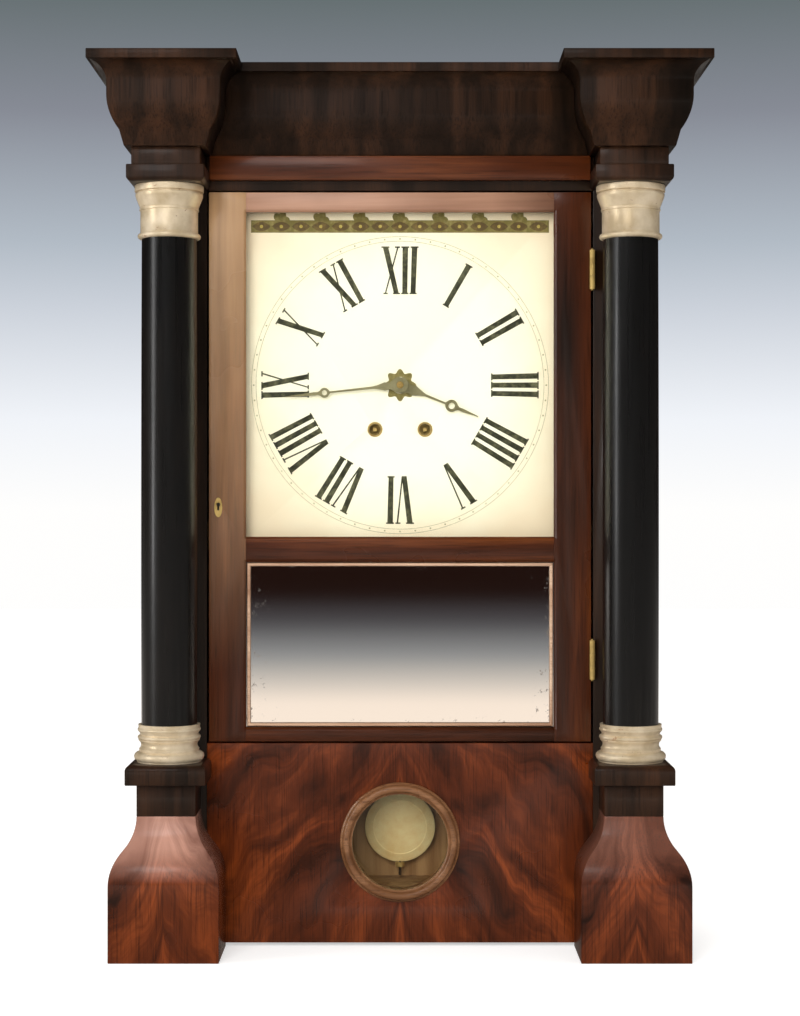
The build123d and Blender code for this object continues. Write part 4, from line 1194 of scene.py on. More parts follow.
def scattered_tree(material: bpy.types.Material, part: bpy.types.Object) -> GeometryTree:
    """Tree that sets a copy of a small part on every point of a mesh.

    Args:
        material: Finish of the copies.
        part: Small part, made at the origin.

    Returns:
        A tree with a Size and a Turn input.
    """
    tree = GeometryTree("scattered_" + part.name)
    size = tree.size("Size", 1.0)
    turn = tree.size("Turn", 0.0)
    source = tree.add("GeometryNodeObjectInfo")
    source.inputs["Object"].default_value = part
    spin = tree.add("ShaderNodeCombineXYZ")
    tree.feed(spin.inputs["Y"], turn)
    copies = tree.add("GeometryNodeInstanceOnPoints")
    tree.feed(copies.inputs["Points"], tree.entry.outputs["Geometry"])
    tree.feed(copies.inputs["Instance"], source.outputs["Geometry"])
    tree.feed(copies.inputs["Scale"], size)
    tree.feed(copies.inputs["Rotation"], spin.outputs[0])
    tree.finish(copies.outputs["Instances"], material)
    return tree


def scattered(
    name: str,
    part: bpy.types.Object,
    points: Sequence[Point3],
    material: bpy.types.Material,
    turn: float = 0.0,
) -> bpy.types.Object:
    """Copies of a small part on a list of points in metres, as one piece.

    Args:
        name: Name of the piece.
        part: Small part, which is used up.
        points: Places in metres.
        material: Finish.
        turn: Turn about Y, radians.

    Returns:
        The piece.
    """
    base = bare_mesh(name, points, [])
    piece = scattered_tree(material, part).run(name, base, {"Turn": turn})
    bpy.data.objects.remove(part)
    return piece


def dial_ring_tree(material: bpy.types.Material, part: bpy.types.Object) -> GeometryTree:
    """Tree that sets copies of a small part round a ring in the front view, each turned outwards.

    Args:
        material: Finish of the copies.
        part: Small part, made at the origin.

    Returns:
        A tree with Count and Radius inputs.
    """
    tree = GeometryTree("ring_of_" + part.name)
    count = tree.size("Count", 60)
    radius = tree.size("Radius", 0.126)
    points = tree.add("GeometryNodePoints")
    tree.feed(points.inputs["Count"], count)
    index = tree.add("GeometryNodeInputIndex")
    angle = tree.maths("DIVIDE", tree.maths("MULTIPLY", index.outputs[0], math.tau), count)
    place = tree.add("ShaderNodeCombineXYZ")
    tree.feed(place.inputs["X"], tree.maths("MULTIPLY", radius, tree.maths("SINE", angle)))
    tree.feed(place.inputs["Z"], tree.maths("MULTIPLY", radius, tree.maths("COSINE", angle)))
    tree.feed(points.inputs["Position"], place.outputs[0])
    spin = tree.add("ShaderNodeCombineXYZ")
    tree.feed(spin.inputs["Y"], angle)
    source = tree.add("GeometryNodeObjectInfo")
    source.inputs["Object"].default_value = part
    copies = tree.add("GeometryNodeInstanceOnPoints")
    tree.feed(copies.inputs["Points"], points.outputs[0])
    tree.feed(copies.inputs["Instance"], source.outputs["Geometry"])
    tree.feed(copies.inputs["Rotation"], spin.outputs[0])
    tree.finish(copies.outputs["Instances"], material)
    return tree


def frame_bead_tree(material: bpy.types.Material, sides: int = 14) -> GeometryTree:
    """Tree that runs a round bead along the edges of its base mesh.

    Args:
        material: Finish of the bead.
        sides: Sides of its section.

    Returns:
        A tree with a Radius input.
    """
    tree = GeometryTree("frame_bead")
    radius = tree.size("Radius", 0.0015)
    path = tree.add("GeometryNodeMeshToCurve")
    tree.feed(path.inputs["Mesh"], tree.entry.outputs["Geometry"])
    section = tree.add("GeometryNodeCurvePrimitiveCircle")
    section.inputs["Resolution"].default_value = sides
    tree.feed(section.inputs["Radius"], radius)
    tube = tree.add("GeometryNodeCurveToMesh")
    tube.inputs["Fill Caps"].default_value = True
    tree.feed(tube.inputs["Curve"], path.outputs["Curve"])
    tree.feed(tube.inputs["Profile Curve"], section.outputs["Curve"])
    tree.finish(tube.outputs["Mesh"], material)
    return tree


def frame_bead(
    name: str, loop: Sequence[Point3], radius: float, material: bpy.types.Material
) -> bpy.types.Object:
    """Round bead along a closed loop of points in metres, its radius in millimetres.

    Args:
        name: Name of the piece.
        loop: Corners of the loop.
        radius: Radius of the bead.
        material: Finish.

    Returns:
        The bead.
    """
    count = len(loop)
    base = wire(name, loop, [(number, (number + 1) % count) for number in range(count)])
    piece = frame_bead_tree(material).run(name, base, {"Radius": mm(radius)})
    outward(piece)
    shade_by_angle(piece, 50.0)
    return piece


def laid_cord(
    name: str, foot: Vector, top: Vector, radius: float, material: bpy.types.Material
) -> bpy.types.Object:
    """Cord of three strands laid round each other, between two upright points.

    Args:
        name: Name of the piece.
        foot: Lower end in metres.
        top: Upper end in metres.
        radius: Radius of the whole cord in metres.
        material: Finish.

    Returns:
        The cord.
    """
    strands, lay, steps = 3, mm(7.0), 10
    strand = radius * 0.52
    rows = int((top.z - foot.z) / lay * steps)
    points: list[Point3] = []
    edges: list[tuple[int, int]] = []
    for number in range(strands):
        start = len(points)
        for row in range(rows + 1):
            angle = math.tau * (row / steps + number / strands)
            out = radius - strand
            height = foot.z + (top.z - foot.z) * row / rows
            points.append((foot.x + out * math.cos(angle), foot.y + out * math.sin(angle), height))
        edges += [(row, row + 1) for row in range(start, start + rows)]
    base = wire(name, points, edges)
    piece = frame_bead_tree(material, 7).run(name, base, {"Radius": strand})
    outward(piece)
    shade_by_angle(piece, 60.0)
    return piece


def merged(name: str, pieces: Sequence[bpy.types.Object]) -> bpy.types.Object:
    """Join pieces of one finish into one object.

    Args:
        name: Name of the joined piece.
        pieces: Pieces to join, which are used up.

    Returns:
        The joined piece.
    """
    work = bmesh.new()
    materials = list(pieces[0].data.materials)
    for piece in pieces:
        work.from_mesh(piece.data)
    mesh = bpy.data.meshes.new(name)
    work.to_mesh(mesh)
    work.free()
    for piece in pieces:
        bpy.data.objects.remove(piece)
    for material in materials:
        mesh.materials.append(material)
    return linked(name, mesh)


def dress(piece: bpy.types.Object, material: bpy.types.Material) -> bpy.types.Object:
    """Give a piece one finish all over.

    Args:
        piece: Piece to dress.
        material: Finish.

    Returns:
        The piece.
    """
    piece.data.materials.clear()
    piece.data.materials.append(material)
    return piece


def fit(piece: bpy.types.Object, body: str, slot: str, *nodes: str) -> bpy.types.Object:
    """Ride a finished piece on its body and hide the CAD nodes that it replaces.

    Args:
        piece: Finished piece.
        body: CAD body that it moves with.
        slot: Not used.
        nodes: CAD nodes that it replaces.

    Returns:
        The piece.
    """
    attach(piece, body)
    if nodes:
        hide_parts(*nodes)
    log.info("%s on %s, %d faces", piece.name, body, len(piece.data.polygons))
    return piece


def eased(
    name: str, node: str, material: bpy.types.Material, body: str, slot: str, width: float = 0.8
) -> None:
    """Stand in for a CAD node with a copy that has eased edges.

    Args:
        name: Name of the new piece.
        node: CAD node that it replaces.
        material: Finish.
        body: CAD body that it moves with.
        slot: Material slot of the record.
        width: Width of the eased edge, millimetres.
    """
    fit(dress(softened(name, node, width), material), body, slot, node)


def redress(material: bpy.types.Material, *nodes: str) -> None:
    """Give CAD nodes that stay a finish of their own.

    Args:
        material: Finish.
        *nodes: Names of the CAD nodes.
    """
    for node in nodes:
        piece = frame["nodes"][node]
        if not piece.material_slots:
            piece.data.materials.append(material)
        for holder in piece.material_slots:
            holder.material = material
        log.info("%s keeps its shape", node)


# The clock


@dataclass
class Cornice:
    """Top slab, broken out cornice and the strip under it."""

    palette: Palette
    ease: float = 0.7

    def build(self) -> None:
        """Make the cornice pieces."""
        wood = self.palette.cornice_wood
        for name, node in (
            ("top_slab", "cornice_slab"),
            ("cornice_over_columns", "cornice_breaks"),
            ("cornice_recess", "cornice_centre"),
        ):
            eased(name, node, wood, "case", "mahogany", self.ease)
        wood = self.palette.strip_wood
        eased("architrave_veneer", "architrave_strip", wood, "case", "mahogany", self.ease)


@dataclass
class Columns:
    """Columns with their capitals and bases, and the blocks and feet under and over them."""

    palette: Palette
    collar: float = 27.0
    entasis: float = 0.9
    shaft_steps: int = 24
    segments: int = 96

    def axis(self, node: str, side: int) -> Matrix:
        """Place of a turned piece's foot on one column, from the box of its node.

        Args:
            node: CAD node of the turned pieces.
            side: -1 for the left column, 1 for the right.

        Returns:
            The place.
        """
        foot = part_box(node)[0].z
        shaft_low, shaft_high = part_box("column_shafts")
        middle_y = (shaft_low.y + shaft_high.y) / 2
        radius = (shaft_high.y - shaft_low.y) / 2
        return Matrix.Translation((side * (shaft_high.x - radius), middle_y, foot))

    def base_profile(self) -> list[Point2]:
        """Gilt base: torus, fillet, hollow, ring and cap.

        Returns:
            Radius and height of each point, millimetres.
        """
        tall = span("column_bases")[2]
        profile = [(0.0, 0.0), (27.5, 0.0)]
        profile += arc((26.0, 4.6), 4.0, -65, 80, 10)
        profile += [(25.6, 9.2), (25.6, 10.2)]
        profile += arc((28.3, 14.6), 4.2, 232, 128, 8)
        profile += [(26.2, 18.4), (26.2, 19.2)]
        profile += arc((25.2, 21.0), 1.8, -70, 70, 6)
        profile += [(24.9, 23.4), (24.9, 24.4)]
        profile += arc((25.4, 27.6), 1.6, -50, 60, 6)
        profile += [(self.collar - 0.6, tall), (0.0, tall)]
        return profile

    def capital_profile(self) -> list[Point2]:
        """Gilt capital: necking ring, drum, swelling echinus, fillet and cap.

        Returns:
            Radius and height of each point, millimetres.
        """
        tall = span("column_capitals")[2]
        profile = [(0.0, 0.0), (24.6, 0.0)]
        profile += arc((24.6, 2.5), 2.4, -80, 80, 8)
        profile += [(24.6, 5.4), (24.6, 24.0), (25.4, 24.5), (25.4, 26.0), (24.9, 26.5)]
        profile += arc((20.0, 38.5), 8.9, -22, 0, 5)
        profile += [(27.6, 39.0), (27.6, 40.0), (29.3, 40.4), (29.5, 41.0), (29.5, tall - 0.5)]
        profile += [(29.0, tall), (0.0, tall)]
        return profile

    def shaft_profile(self) -> list[Point2]:
        """Plain shaft that swells a little below its middle and tapers to the neck.

        Returns:
            Radius and height of each point, millimetres.
        """
        _, deep, tall = span("column_shafts")
        radius = deep / 2
        profile = [(0.0, 0.0), (radius - 0.1, 0.0)]
        for step in range(self.shaft_steps + 1):
            share = step / self.shaft_steps
            taper = self.entasis * (1 - math.sin(math.pi * (0.25 + 0.6 * share)))
            profile.append((radius - taper, tall * share))
        return profile + [(0.0, tall)]

    def pair(
        self, name: str, node: str, profile: list[Point2], material: bpy.types.Material, slot: str
    ) -> None:
        """One turned piece on each column, kept as one object.

        Args:
            name: Name of the piece.
            node: CAD node that it replaces.
            profile: Radius and height of each point, millimetres.
            material: Finish.
            slot: Material slot of the record.
        """
        halves = [
            turned(name, profile, material, self.axis(node, side), self.segments) for side in (-1, 1)
        ]
        fit(merged(name, halves), "case", slot, node)

    def build(self) -> None:
        """Make the columns and the blocks."""
        palette = self.palette
        self.pair("black_shafts", "column_shafts", self.shaft_profile(), palette.black, "ebonised_wood")
        self.pair("gilt_bases", "column_bases", self.base_profile(), palette.gilt, "gilt")
        self.pair("gilt_capitals", "column_capitals", self.capital_profile(), palette.gilt, "gilt")
        eased("ogee_feet", "feet", palette.foot_wood, "case", "crotch_mahogany")
        eased("plinth_necks", "column_necks", palette.dark_wood, "case", "mahogany", 0.6)
        eased("ledge_slabs", "column_slabs", palette.dark_wood, "case", "mahogany")


@dataclass
class CaseBody:
    """Sides, posts, rail, panel, back, top and floor."""

    palette: Palette
    planks: int = 3
    groove: float = 1.6
    plank_edge: float = 1.2
    nail_proud: float = 0.4
    nail_rows: int = 7
    nails_across: int = 4
    row_margin: float = 25.0
    side_margin: float = 6.0
    foot_margin: float = 40.0
    top_margin: float = 6.0
    nail_depth: float = 0.3
    nail_half: Point3 = (2.2, 0.28, 1.6)
    nail_turn: float = 0.4

    def back(self) -> bpy.types.Object:
        """Back of upright pine planks with open joints.

        Returns:
            The planks as one piece.
        """
        low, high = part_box("back_board")
        wide = (high.x - low.x) / self.planks
        half_groove = mm(self.groove / 2)
        face = high.y - mm(self.nail_proud)
        pieces = []
        for number in range(self.planks):
            left = low.x + wide * number + half_groove * (number > 0)
            right = low.x + wide * (number + 1) - half_groove * (number < self.planks - 1)
            plank = bare_mesh("plank", *bar((left, low.y, low.z), (right, face, high.z)))
            edge = plank.modifiers.new("edge", "BEVEL")
            edge.width = mm(self.plank_edge)
            edge.segments = 2
            pieces.append(settled(plank))
        piece = merged("back_planks", pieces)
        outward(piece)
        return dress(piece, self.palette.pine)

    def nails(self) -> bpy.types.Object:
        """Cut nail heads round the edge of the back.

        Returns:
            All heads as one piece.
        """
        low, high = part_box("back_board")
        depth = high.y - mm(self.nail_depth)
        reach = high.z - low.z - mm(2 * self.row_margin)
        points = []
        for row in range(self.nail_rows):
            height = low.z + mm(self.row_margin) + reach * row / (self.nail_rows - 1)
            points += [(side * (high.x - mm(self.side_margin)), depth, height) for side in (-1, 1)]
        levels = (low.z + mm(self.foot_margin), high.z - mm(self.top_margin))
        for column in range(1, self.nails_across + 1):
            across = low.x + (high.x - low.x) * column / (self.nails_across + 1)
            points += [(across, depth, height) for height in levels]
        corner = tuple(mm(size) for size in self.nail_half)
        head = bare_mesh("nail_head", *bar(tuple(-size for size in corner), corner))
        return scattered("back_nails", head, points, self.palette.iron, self.nail_turn)

    def build(self) -> None:
        """Make the case pieces."""
        eased("side_boards", "case_sides", self.palette.side_wood, "case", "mahogany")
        eased("front_posts", "front_frame", self.palette.dark_wood, "case", "mahogany", 0.5)
        eased("crotch_panel", "base_panel", self.palette.panel_wood, "case", "crotch_mahogany", 0.7)
        fit(self.back(), "case", "pine", "back_board")
        fit(self.nails(), "case", "iron")
        redress(self.palette.pine, "case_boards", "dial_blocks")


@dataclass
class PendulumWindow:
    """Turned ring, its glass, and the bob that shows through it."""

    palette: Palette
    ring_width: float = 10.5

    def ring(self) -> bpy.types.Object:
        """Ring with a round nose and a fine step inside it.

        Returns:
            The ring.
        """
        low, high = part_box("window_ring")
        wide, proud, _ = span("window_ring")
        outer = wide / 2
        inner = outer - self.ring_width
        profile = [(inner, 0.0), (inner + 0.3, proud * 0.35), (inner + 1.3, proud * 0.42)]
        profile += arc((inner + 5.2, proud * 0.45), proud * 0.55, 165, 25, 12)
        profile += [(outer - 1.6, proud * 0.4), (outer - 0.9, proud * 0.34), (outer, proud * 0.2)]
        profile += [(outer, 0.0), (inner, 0.0)]
        middle = (low + high) / 2
        move = Matrix.Translation((middle.x, high.y, middle.z)) @ Matrix.Rotation(math.radians(90), 4, "X")
        return turned("window_moulding", profile, self.palette.ring_wood, move, 128)

    def bob(self) -> bpy.types.Object:
        """Brass bob: a shallow dome inside a turned ring, on both faces.

        Returns:
            The bob.
        """
        low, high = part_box("pendulum_bob")
        _, thick, tall = span("pendulum_bob")
        radius, half = tall / 2, thick / 2
        dome = [(0.0, 1.0), (0.3, 0.97), (0.55, 0.84), (0.74, 0.62), (0.76, 0.66)]
        rings = [(0.79, 0.62), (0.86, 0.42), (0.93, 0.28), (0.97, 0.2), (0.995, 0.08)]
        face = [(radius * out, half * up) for out, up in dome + rings]
        profile = face + [(out, -up) for out, up in reversed(face)]
        middle = (low + high) / 2
        move = Matrix.Translation(middle) @ Matrix.Rotation(math.radians(90), 4, "X")
        return turned("brass_bob", profile, self.palette.bob_brass, move, 96, 25.0)

    def build(self) -> None:
        """Make the window and the pendulum's pieces."""
        fit(self.ring(), "case", "mahogany", "window_ring")
        fit(self.bob(), "pendulum", "brass", "pendulum_bob")
        redress(self.palette.glass, "window_glass")
        redress(self.palette.steel, "pendulum_rod", "verge_and_crutch")
        redress(self.palette.brass, "rating_nut")


@dataclass
class Door:
    """Door frame, its glass and looking glass, lock and hinges."""

    palette: Palette
    bead: float = 2.2
    hinge_half: float = 17.0
    knuckle: float = 2.4
    leaf_gap: float = 0.1
    rebate: float = 4.7
    plate_thick: float = 0.8
    plate_ease: float = 0.15
    knuckle_half: float = 5.5
    knuckle_gap: float = 5.75
    knuckle_ease: float = 0.3
    screw_pitch: float = 11.0
    screw_radius: float = 1.5
    slot_half: float = 0.2
    head_half: float = 0.05

    def sight(self) -> tuple[float, float, float]:
        """Half width of the openings, and the foot and top of the lower one, in metres.

        Returns:
            The three measures.
        """
        low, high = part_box("mirror")
        edge = mm(self.rebate)
        return high.x - edge, low.z + edge, high.z - edge

    def mirror_bead(self) -> bpy.types.Object:
        """Pale bead just inside the lower opening, on the face of the looking glass.

        Returns:
            The bead.
        """
        half, foot, top = self.sight()
        inset = mm(self.bead)
        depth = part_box("mirror")[0].y - inset
        loop = [
            (-half + inset, depth, foot + inset),
            (half - inset, depth, foot + inset),
            (half - inset, depth, top - inset),
            (-half + inset, depth, top - inset),
        ]
        return frame_bead("mirror_bead", loop, self.bead, self.palette.bead_wood)

    def escutcheon(self) -> bpy.types.Object:
        """Oval brass plate with a keyhole.

        Returns:
            The plate.
        """
        low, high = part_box("escutcheon")
        wide, _, tall = span("escutcheon")
        outline = []
        for step in range(40):
            angle = math.tau * step / 40
            outline.append((wide / 2 * math.sin(angle), tall / 2 * math.cos(angle)))
        eye = arc((0.0, 2.5), 1.7, -60, 240, 14)
        hole = eye + [(-0.8, -2.5), (0.8, -2.5)]
        piece = flat_piece("keyhole_plate", [outline, hole], self.plate_thick, self.plate_ease)
        middle = (low + high) / 2
        piece.data.transform(Matrix.Translation((middle.x, high.y, middle.z)))
        return dress(piece, self.palette.brass)

    def barrel(self, name: str, foot: float, top: float, balls: bool) -> bpy.types.Object:
        """One hinge knuckle, with a ball on top where the pin shows.

        Args:
            name: Name of the piece.
            foot: Height of its foot, metres.
            top: Height of its top, metres.
            balls: Whether it carries the ball.

        Returns:
            The knuckle.
        """
        axis_x, axis_y = self.axis()
        radius, ease = self.knuckle, self.knuckle_ease
        tall = (top - foot) * 1000
        profile = [(0.0, 0.0), (radius - ease, 0.0), (radius, ease)]
        profile += [(radius, tall - ease), (radius - ease, tall), (0.0, tall)]
        if balls:
            knob = [(x, tall - 0.05 + z) for x, z in arc((0.0, 0.35), 1.1, -10, 90, 5)]
            profile = profile[:-1] + [(1.0, tall)] + knob
        return turned(name, profile, self.palette.brass, Matrix.Translation((axis_x, axis_y, foot)), 28)

    def axis(self) -> Point2:
        """X and Y of the hinge line."""
        place = joint_named("door_hinge")["pos_m"]
        return place[0], place[1]

    def hinge_levels(self) -> tuple[float, float]:
        """Middle heights of the two hinges."""
        low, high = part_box("hinge_door_leaves")
        return low.z + mm(self.hinge_half), high.z - mm(self.hinge_half)

    def screws(self, side: int) -> bpy.types.Object:
        """Three slotted screw heads let into each leaf.

        Args:
            side: -1 for the leaf on the door, 1 for the leaf on the post.

        Returns:
            The heads as one piece.
        """
        axis_x, axis_y = self.axis()
        leaf_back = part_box("hinge_door_leaves")[1].y
        middle_y = (axis_y + mm(self.knuckle) + leaf_back) / 2
        face = axis_x + side * mm(self.leaf_gap)
        places = []
        for level in self.hinge_levels():
            for row in (-1, 0, 1):
                places.append((face, middle_y, level + mm(self.screw_pitch) * row))
        head = self.screw_head()
        name = "hinge_screws_door" if side < 0 else "hinge_screws_post"
        return scattered(name, head, places, self.palette.steel)

    def screw_head(self) -> bpy.types.Object:
        """Round head in two halves, with the slot between them.

        Returns:
            The head at the origin, facing along X.
        """
        rim = arc((0.0, 0.0), self.screw_radius, 0, 342, 19)
        upper = [(y, z) for y, z in rim if z > self.slot_half]
        lower = [(y, z) for y, z in rim if z < -self.slot_half]
        points: list[Point3] = []
        faces: list[list[int]] = []
        for outline in (upper, lower):
            start, count = len(points), len(outline)
            for depth in (-self.head_half, self.head_half):
                points += [(mm(depth), mm(y), mm(z)) for y, z in outline]
            faces.append([start + number for number in range(count)])
            faces.append([start + count + number for number in reversed(range(count))])
            for number in range(count):
                after = (number + 1) % count
                far = start + count
                faces.append([start + after, start + number, far + number, far + after])
        head = bare_mesh("screw_head", points, faces)
        outward(head)
        return head

    def hinges(self) -> None:
        """Both butt hinges, each leaf on its own body."""
        half, gap, middle = mm(self.hinge_half), mm(self.knuckle_gap), mm(self.knuckle_half)
        on_door, on_post = [], []
        for level in self.hinge_levels():
            on_door.append(self.barrel("knuckle", level - middle, level + middle, False))
        for level in self.hinge_levels():
            on_post.append(self.barrel("knuckle", level + gap, level + half, True))
            on_post.append(self.barrel("knuckle", level - half, level - gap, False))
        for body, side, name, node, pieces in (
            ("door", -1, "hinge_knuckles_door", "hinge_door_leaves", on_door),
            ("case", 1, "hinge_knuckles_post", "hinge_case_leaves", on_post),
        ):
            fit(merged(name, pieces), body, "brass")
            redress(self.palette.brass, node)
            fit(self.screws(side), body, "steel")

    def build(self) -> None:
        """Make the door's pieces."""
        eased("stile_veneers", "door_stiles", self.palette.stile_wood, "door", "crotch_mahogany", 0.5)
        eased("rail_veneers", "door_rails", self.palette.rail_wood, "door", "mahogany", 0.5)
        fit(self.mirror_bead(), "door", "gilt")
        fit(self.escutcheon(), "door", "brass", "escutcheon")
        self.hinges()
        redress(self.palette.glass, "door_glass")
        redress(self.palette.mirror, "mirror")
        redress(self.palette.pine, "door_backing")
        redress(self.palette.steel, "lock_case", "lock_bolt")


@dataclass
class Dial:
    """Painted dial: board, numerals, minute ring, ornament and winding holes."""

    palette: Palette
    numeral_foot: float = 80.0
    numeral_tall: float = 42.0
    thick: float = 4.6
    thin: float = 1.3
    serif: float = 1.0
    wide_letter: float = 15.5
    letter_gap: float = 1.1
    foot_squeeze: float = 0.72
    lift: float = 0.12
    layer: float = 0.004
    paint: float = 0.08
    ring_radius: float = 128.6
    ring_half: float = 2.0
    line_width: float = 0.45
    band_level: float = 628.5
    band_half: Point2 = (131.0, 5.5)
    leaf_pitch: float = 17.4
    leaf_count: int = 15
    crest_pitch: float = 34.8
    crest_count: int = 7
    centre: Vector = field(default_factory=Vector)

    def __post_init__(self) -> None:
        """Find the middle of the dial from the minute hand's joint."""
        place = joint_named("minute_turn")["pos_m"]
        self.centre = Vector((place[0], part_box("dial")[0].y, place[2]))

    def upright(self, left: float) -> list[list[Point2]]:
        """Strokes of the letter I: its stem and two serifs.

        Args:
            left: Left edge of the letter, millimetres.

        Returns:
            Four sided faces, across by up.
        """
        tall, thick, thin = self.numeral_tall, self.thick, self.thin
        stem, wide = left + self.serif, thick + 2 * self.serif
        strokes = [[(stem, 0), (stem + thick, 0), (stem + thick, tall), (stem, tall)]]
        for foot in (0.0, tall - thin):
            head = foot + thin
            strokes.append([(left, foot), (left + wide, foot), (left + wide, head), (left, head)])
        return strokes

    def slanted(self, left: float, crossed: bool) -> list[list[Point2]]:
        """Strokes of the letter V, or of X where they cross.

        Args:
            left: Left edge of the letter, millimetres.
            crossed: Whether it is an X.

        Returns:
            Four sided faces, across by up.
        """
        tall, thick, thin, serif, wide = (
            self.numeral_tall, self.thick, self.thin, self.serif, self.wide_letter
        )
        stem, top_right = left + serif, left + wide - serif - thin
        low_left = left + wide - thick - serif if crossed else left + wide / 2 - thick / 2
        low_right = stem if crossed else left + wide / 2 + thick / 2 - thin
        strokes = [
            [(low_left, 0), (low_left + thick, 0), (stem + thick, tall), (stem, tall)],
            [(low_right, 0), (low_right + thin, 0), (top_right + thin, tall), (top_right, tall)],
        ]
        tops = ((left, left + thick + 2 * serif), (top_right - 2 * serif, top_right + thin + serif))
        for start, end in tops:
            strokes.append([(start, tall - thin), (end, tall - thin), (end, tall), (start, tall)])
        if crossed:
            feet = (
                (low_right - serif, low_right + 3 * serif),
                (low_left - serif, low_left + thick + serif),
            )
            for start, end in feet:
                strokes.append([(start, 0), (end, 0), (end, thin), (start, thin)])
        return strokes

    def strokes(self, numeral: str) -> tuple[list[list[Point2]], float]:
        """Strokes of one numeral as four sided faces, across by up, and its width.

        Args:
            numeral: Letters I, V and X.

        Returns:
            The strokes in millimetres from the left foot, and the width.
        """
        strokes: list[list[Point2]] = []
        left = 0.0
        for letter in numeral:
            if letter == "I":
                strokes += self.upright(left)
                wide = self.thick + 2 * self.serif
            else:
                strokes += self.slanted(left, letter == "X")
                wide = self.wide_letter
            left += wide + self.letter_gap
        return strokes, left - self.letter_gap

    def numerals(self) -> bpy.types.Object:
        """All twelve hours, feet towards the middle, with IIII for four.

        Returns:
            The numerals as one piece.
        """
        hours = ("XII", "I", "II", "III", "IIII", "V", "VI", "VII", "VIII", "IX", "X", "XI")
        points: list[Point3] = []
        faces: list[list[int]] = []
        middle = self.numeral_foot + self.numeral_tall / 2
        for hour, letters in enumerate(hours):
            strokes, wide = self.strokes(letters)
            turn = math.radians(30 * hour)
            for layer, stroke in enumerate(strokes):
                start = len(points)
                for across, up in stroke:
                    out = self.numeral_foot + up
                    spread = self.foot_squeeze + (1 - self.foot_squeeze) * out / middle
                    side = (across - wide / 2) * spread
                    x = out * math.sin(turn) + side * math.cos(turn)
                    z = out * math.cos(turn) - side * math.sin(turn)
                    points.append((self.centre.x + mm(x), self.centre.y, self.centre.z + mm(z)))
                faces.append([start, start + 1, start + 2, start + 3])
                lift = mm(self.lift + self.layer * layer)
                for number in range(4):
                    x, y, z = points[start + number]
                    points.append((x, y - lift, z))
                faces.append([start + 7, start + 6, start + 5, start + 4])
                for number in range(4):
                    after = (number + 1) % 4
                    faces.append([start + after, start + number, start + 4 + number, start + 4 + after])
        piece = bare_mesh("hour_numerals", points, faces)
        outward(piece)
        return dress(piece, self.palette.numeral_ink)

    def minute_ring(self) -> bpy.types.Object:
        """Sixty dots between two fine lines.

        Returns:
            The dots as one piece.
        """
        dot = flat_piece("minute_dot", [arc((0, 0), 0.8, 0, 330, 11)], 0.1)
        base = bare_mesh("minute_marks", [(0.0, 0.0, 0.0)], [])
        tree = dial_ring_tree(self.palette.fine_ink, dot)
        piece = tree.run("minute_marks", base, {"Count": 60, "Radius": mm(self.ring_radius)})
        bpy.data.objects.remove(dot)
        piece.data.transform(Matrix.Translation(self.centre))
        return piece

    def ring_line(self, name: str, radius: float) -> bpy.types.Object:
        """One fine painted circle.

        Args:
            name: Name of the piece.
            radius: Radius of its middle, millimetres.

        Returns:
            The circle.
        """
        outer = arc((0, 0), radius + self.line_width / 2, 0, 357, 119)
        inner = arc((0, 0), radius - self.line_width / 2, 0, 357, 119)
        piece = flat_piece(name, [outer, inner], self.paint)
        piece.data.transform(Matrix.Translation(self.centre))
        return dress(piece, self.palette.fine_ink)

    def band(self) -> None:
        """Ornament along the top: an olive ribbon with leaves, crests and gilt pips."""
        level, depth = mm(self.band_level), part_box("dial")[0].y
        coat = mm(self.paint)
        wide, tall = self.band_half
        outline = [(-wide, -tall), (wide, -tall), (wide, tall), (-wide, tall)]
        ribbon = flat_piece("band_ribbon", [outline], self.paint)
        ribbon.data.transform(Matrix.Translation((0, depth, level)))
        fit(dress(ribbon, self.palette.band_olive), "case", "painted_dial")
        across = [mm(self.leaf_pitch) * (n - self.leaf_count // 2) for n in range(self.leaf_count)]
        leaf = flat_piece("band_leaf", [self.leaf_outline()], self.paint)
        places = [(x, depth - coat, level) for x in across]
        fit(scattered("band_leaves", leaf, places, self.palette.band_dark), "case", "painted_dial")
        pip = flat_piece("band_pip", [arc((0, 0), 1.5, 0, 330, 11)], self.paint)
        places = [(x, depth - 2 * coat, level) for x in across]
        fit(scattered("band_pips", pip, places, self.palette.band_gold), "case", "painted_dial")
        crest = flat_piece("band_crest", [self.crest_outline()], self.paint)
        across = [mm(self.crest_pitch) * (n - self.crest_count // 2) for n in range(self.crest_count)]
        places = [(x, depth - coat / 4, level + mm(tall - 0.2)) for x in across]
        fit(scattered("band_crests", crest, places, self.palette.band_olive), "case", "painted_dial")

    def leaf_outline(self) -> list[Point2]:
        """Pointed leaf between two arcs.

        Returns:
            Its outline, millimetres.
        """
        upper = arc((0.0, -6.0), 10.0, 143, 37, 10)
        lower = arc((0.0, 6.0), 10.0, -37, -143, 10)
        return [(-8.0, 0.0)] + upper + [(8.0, 0.0)] + lower

    def crest_outline(self) -> list[Point2]:
        """Lobed crest that stands on the ribbon.

        Returns:
            Its outline, millimetres.
        """
        outline = []
        for step in range(37):
            angle = math.pi * step / 36
            reach = 5.2 + 2.4 * abs(math.sin(2.5 * angle + math.pi / 2))
            outline.append((reach * math.cos(angle), reach * 1.15 * math.sin(angle)))
        return outline

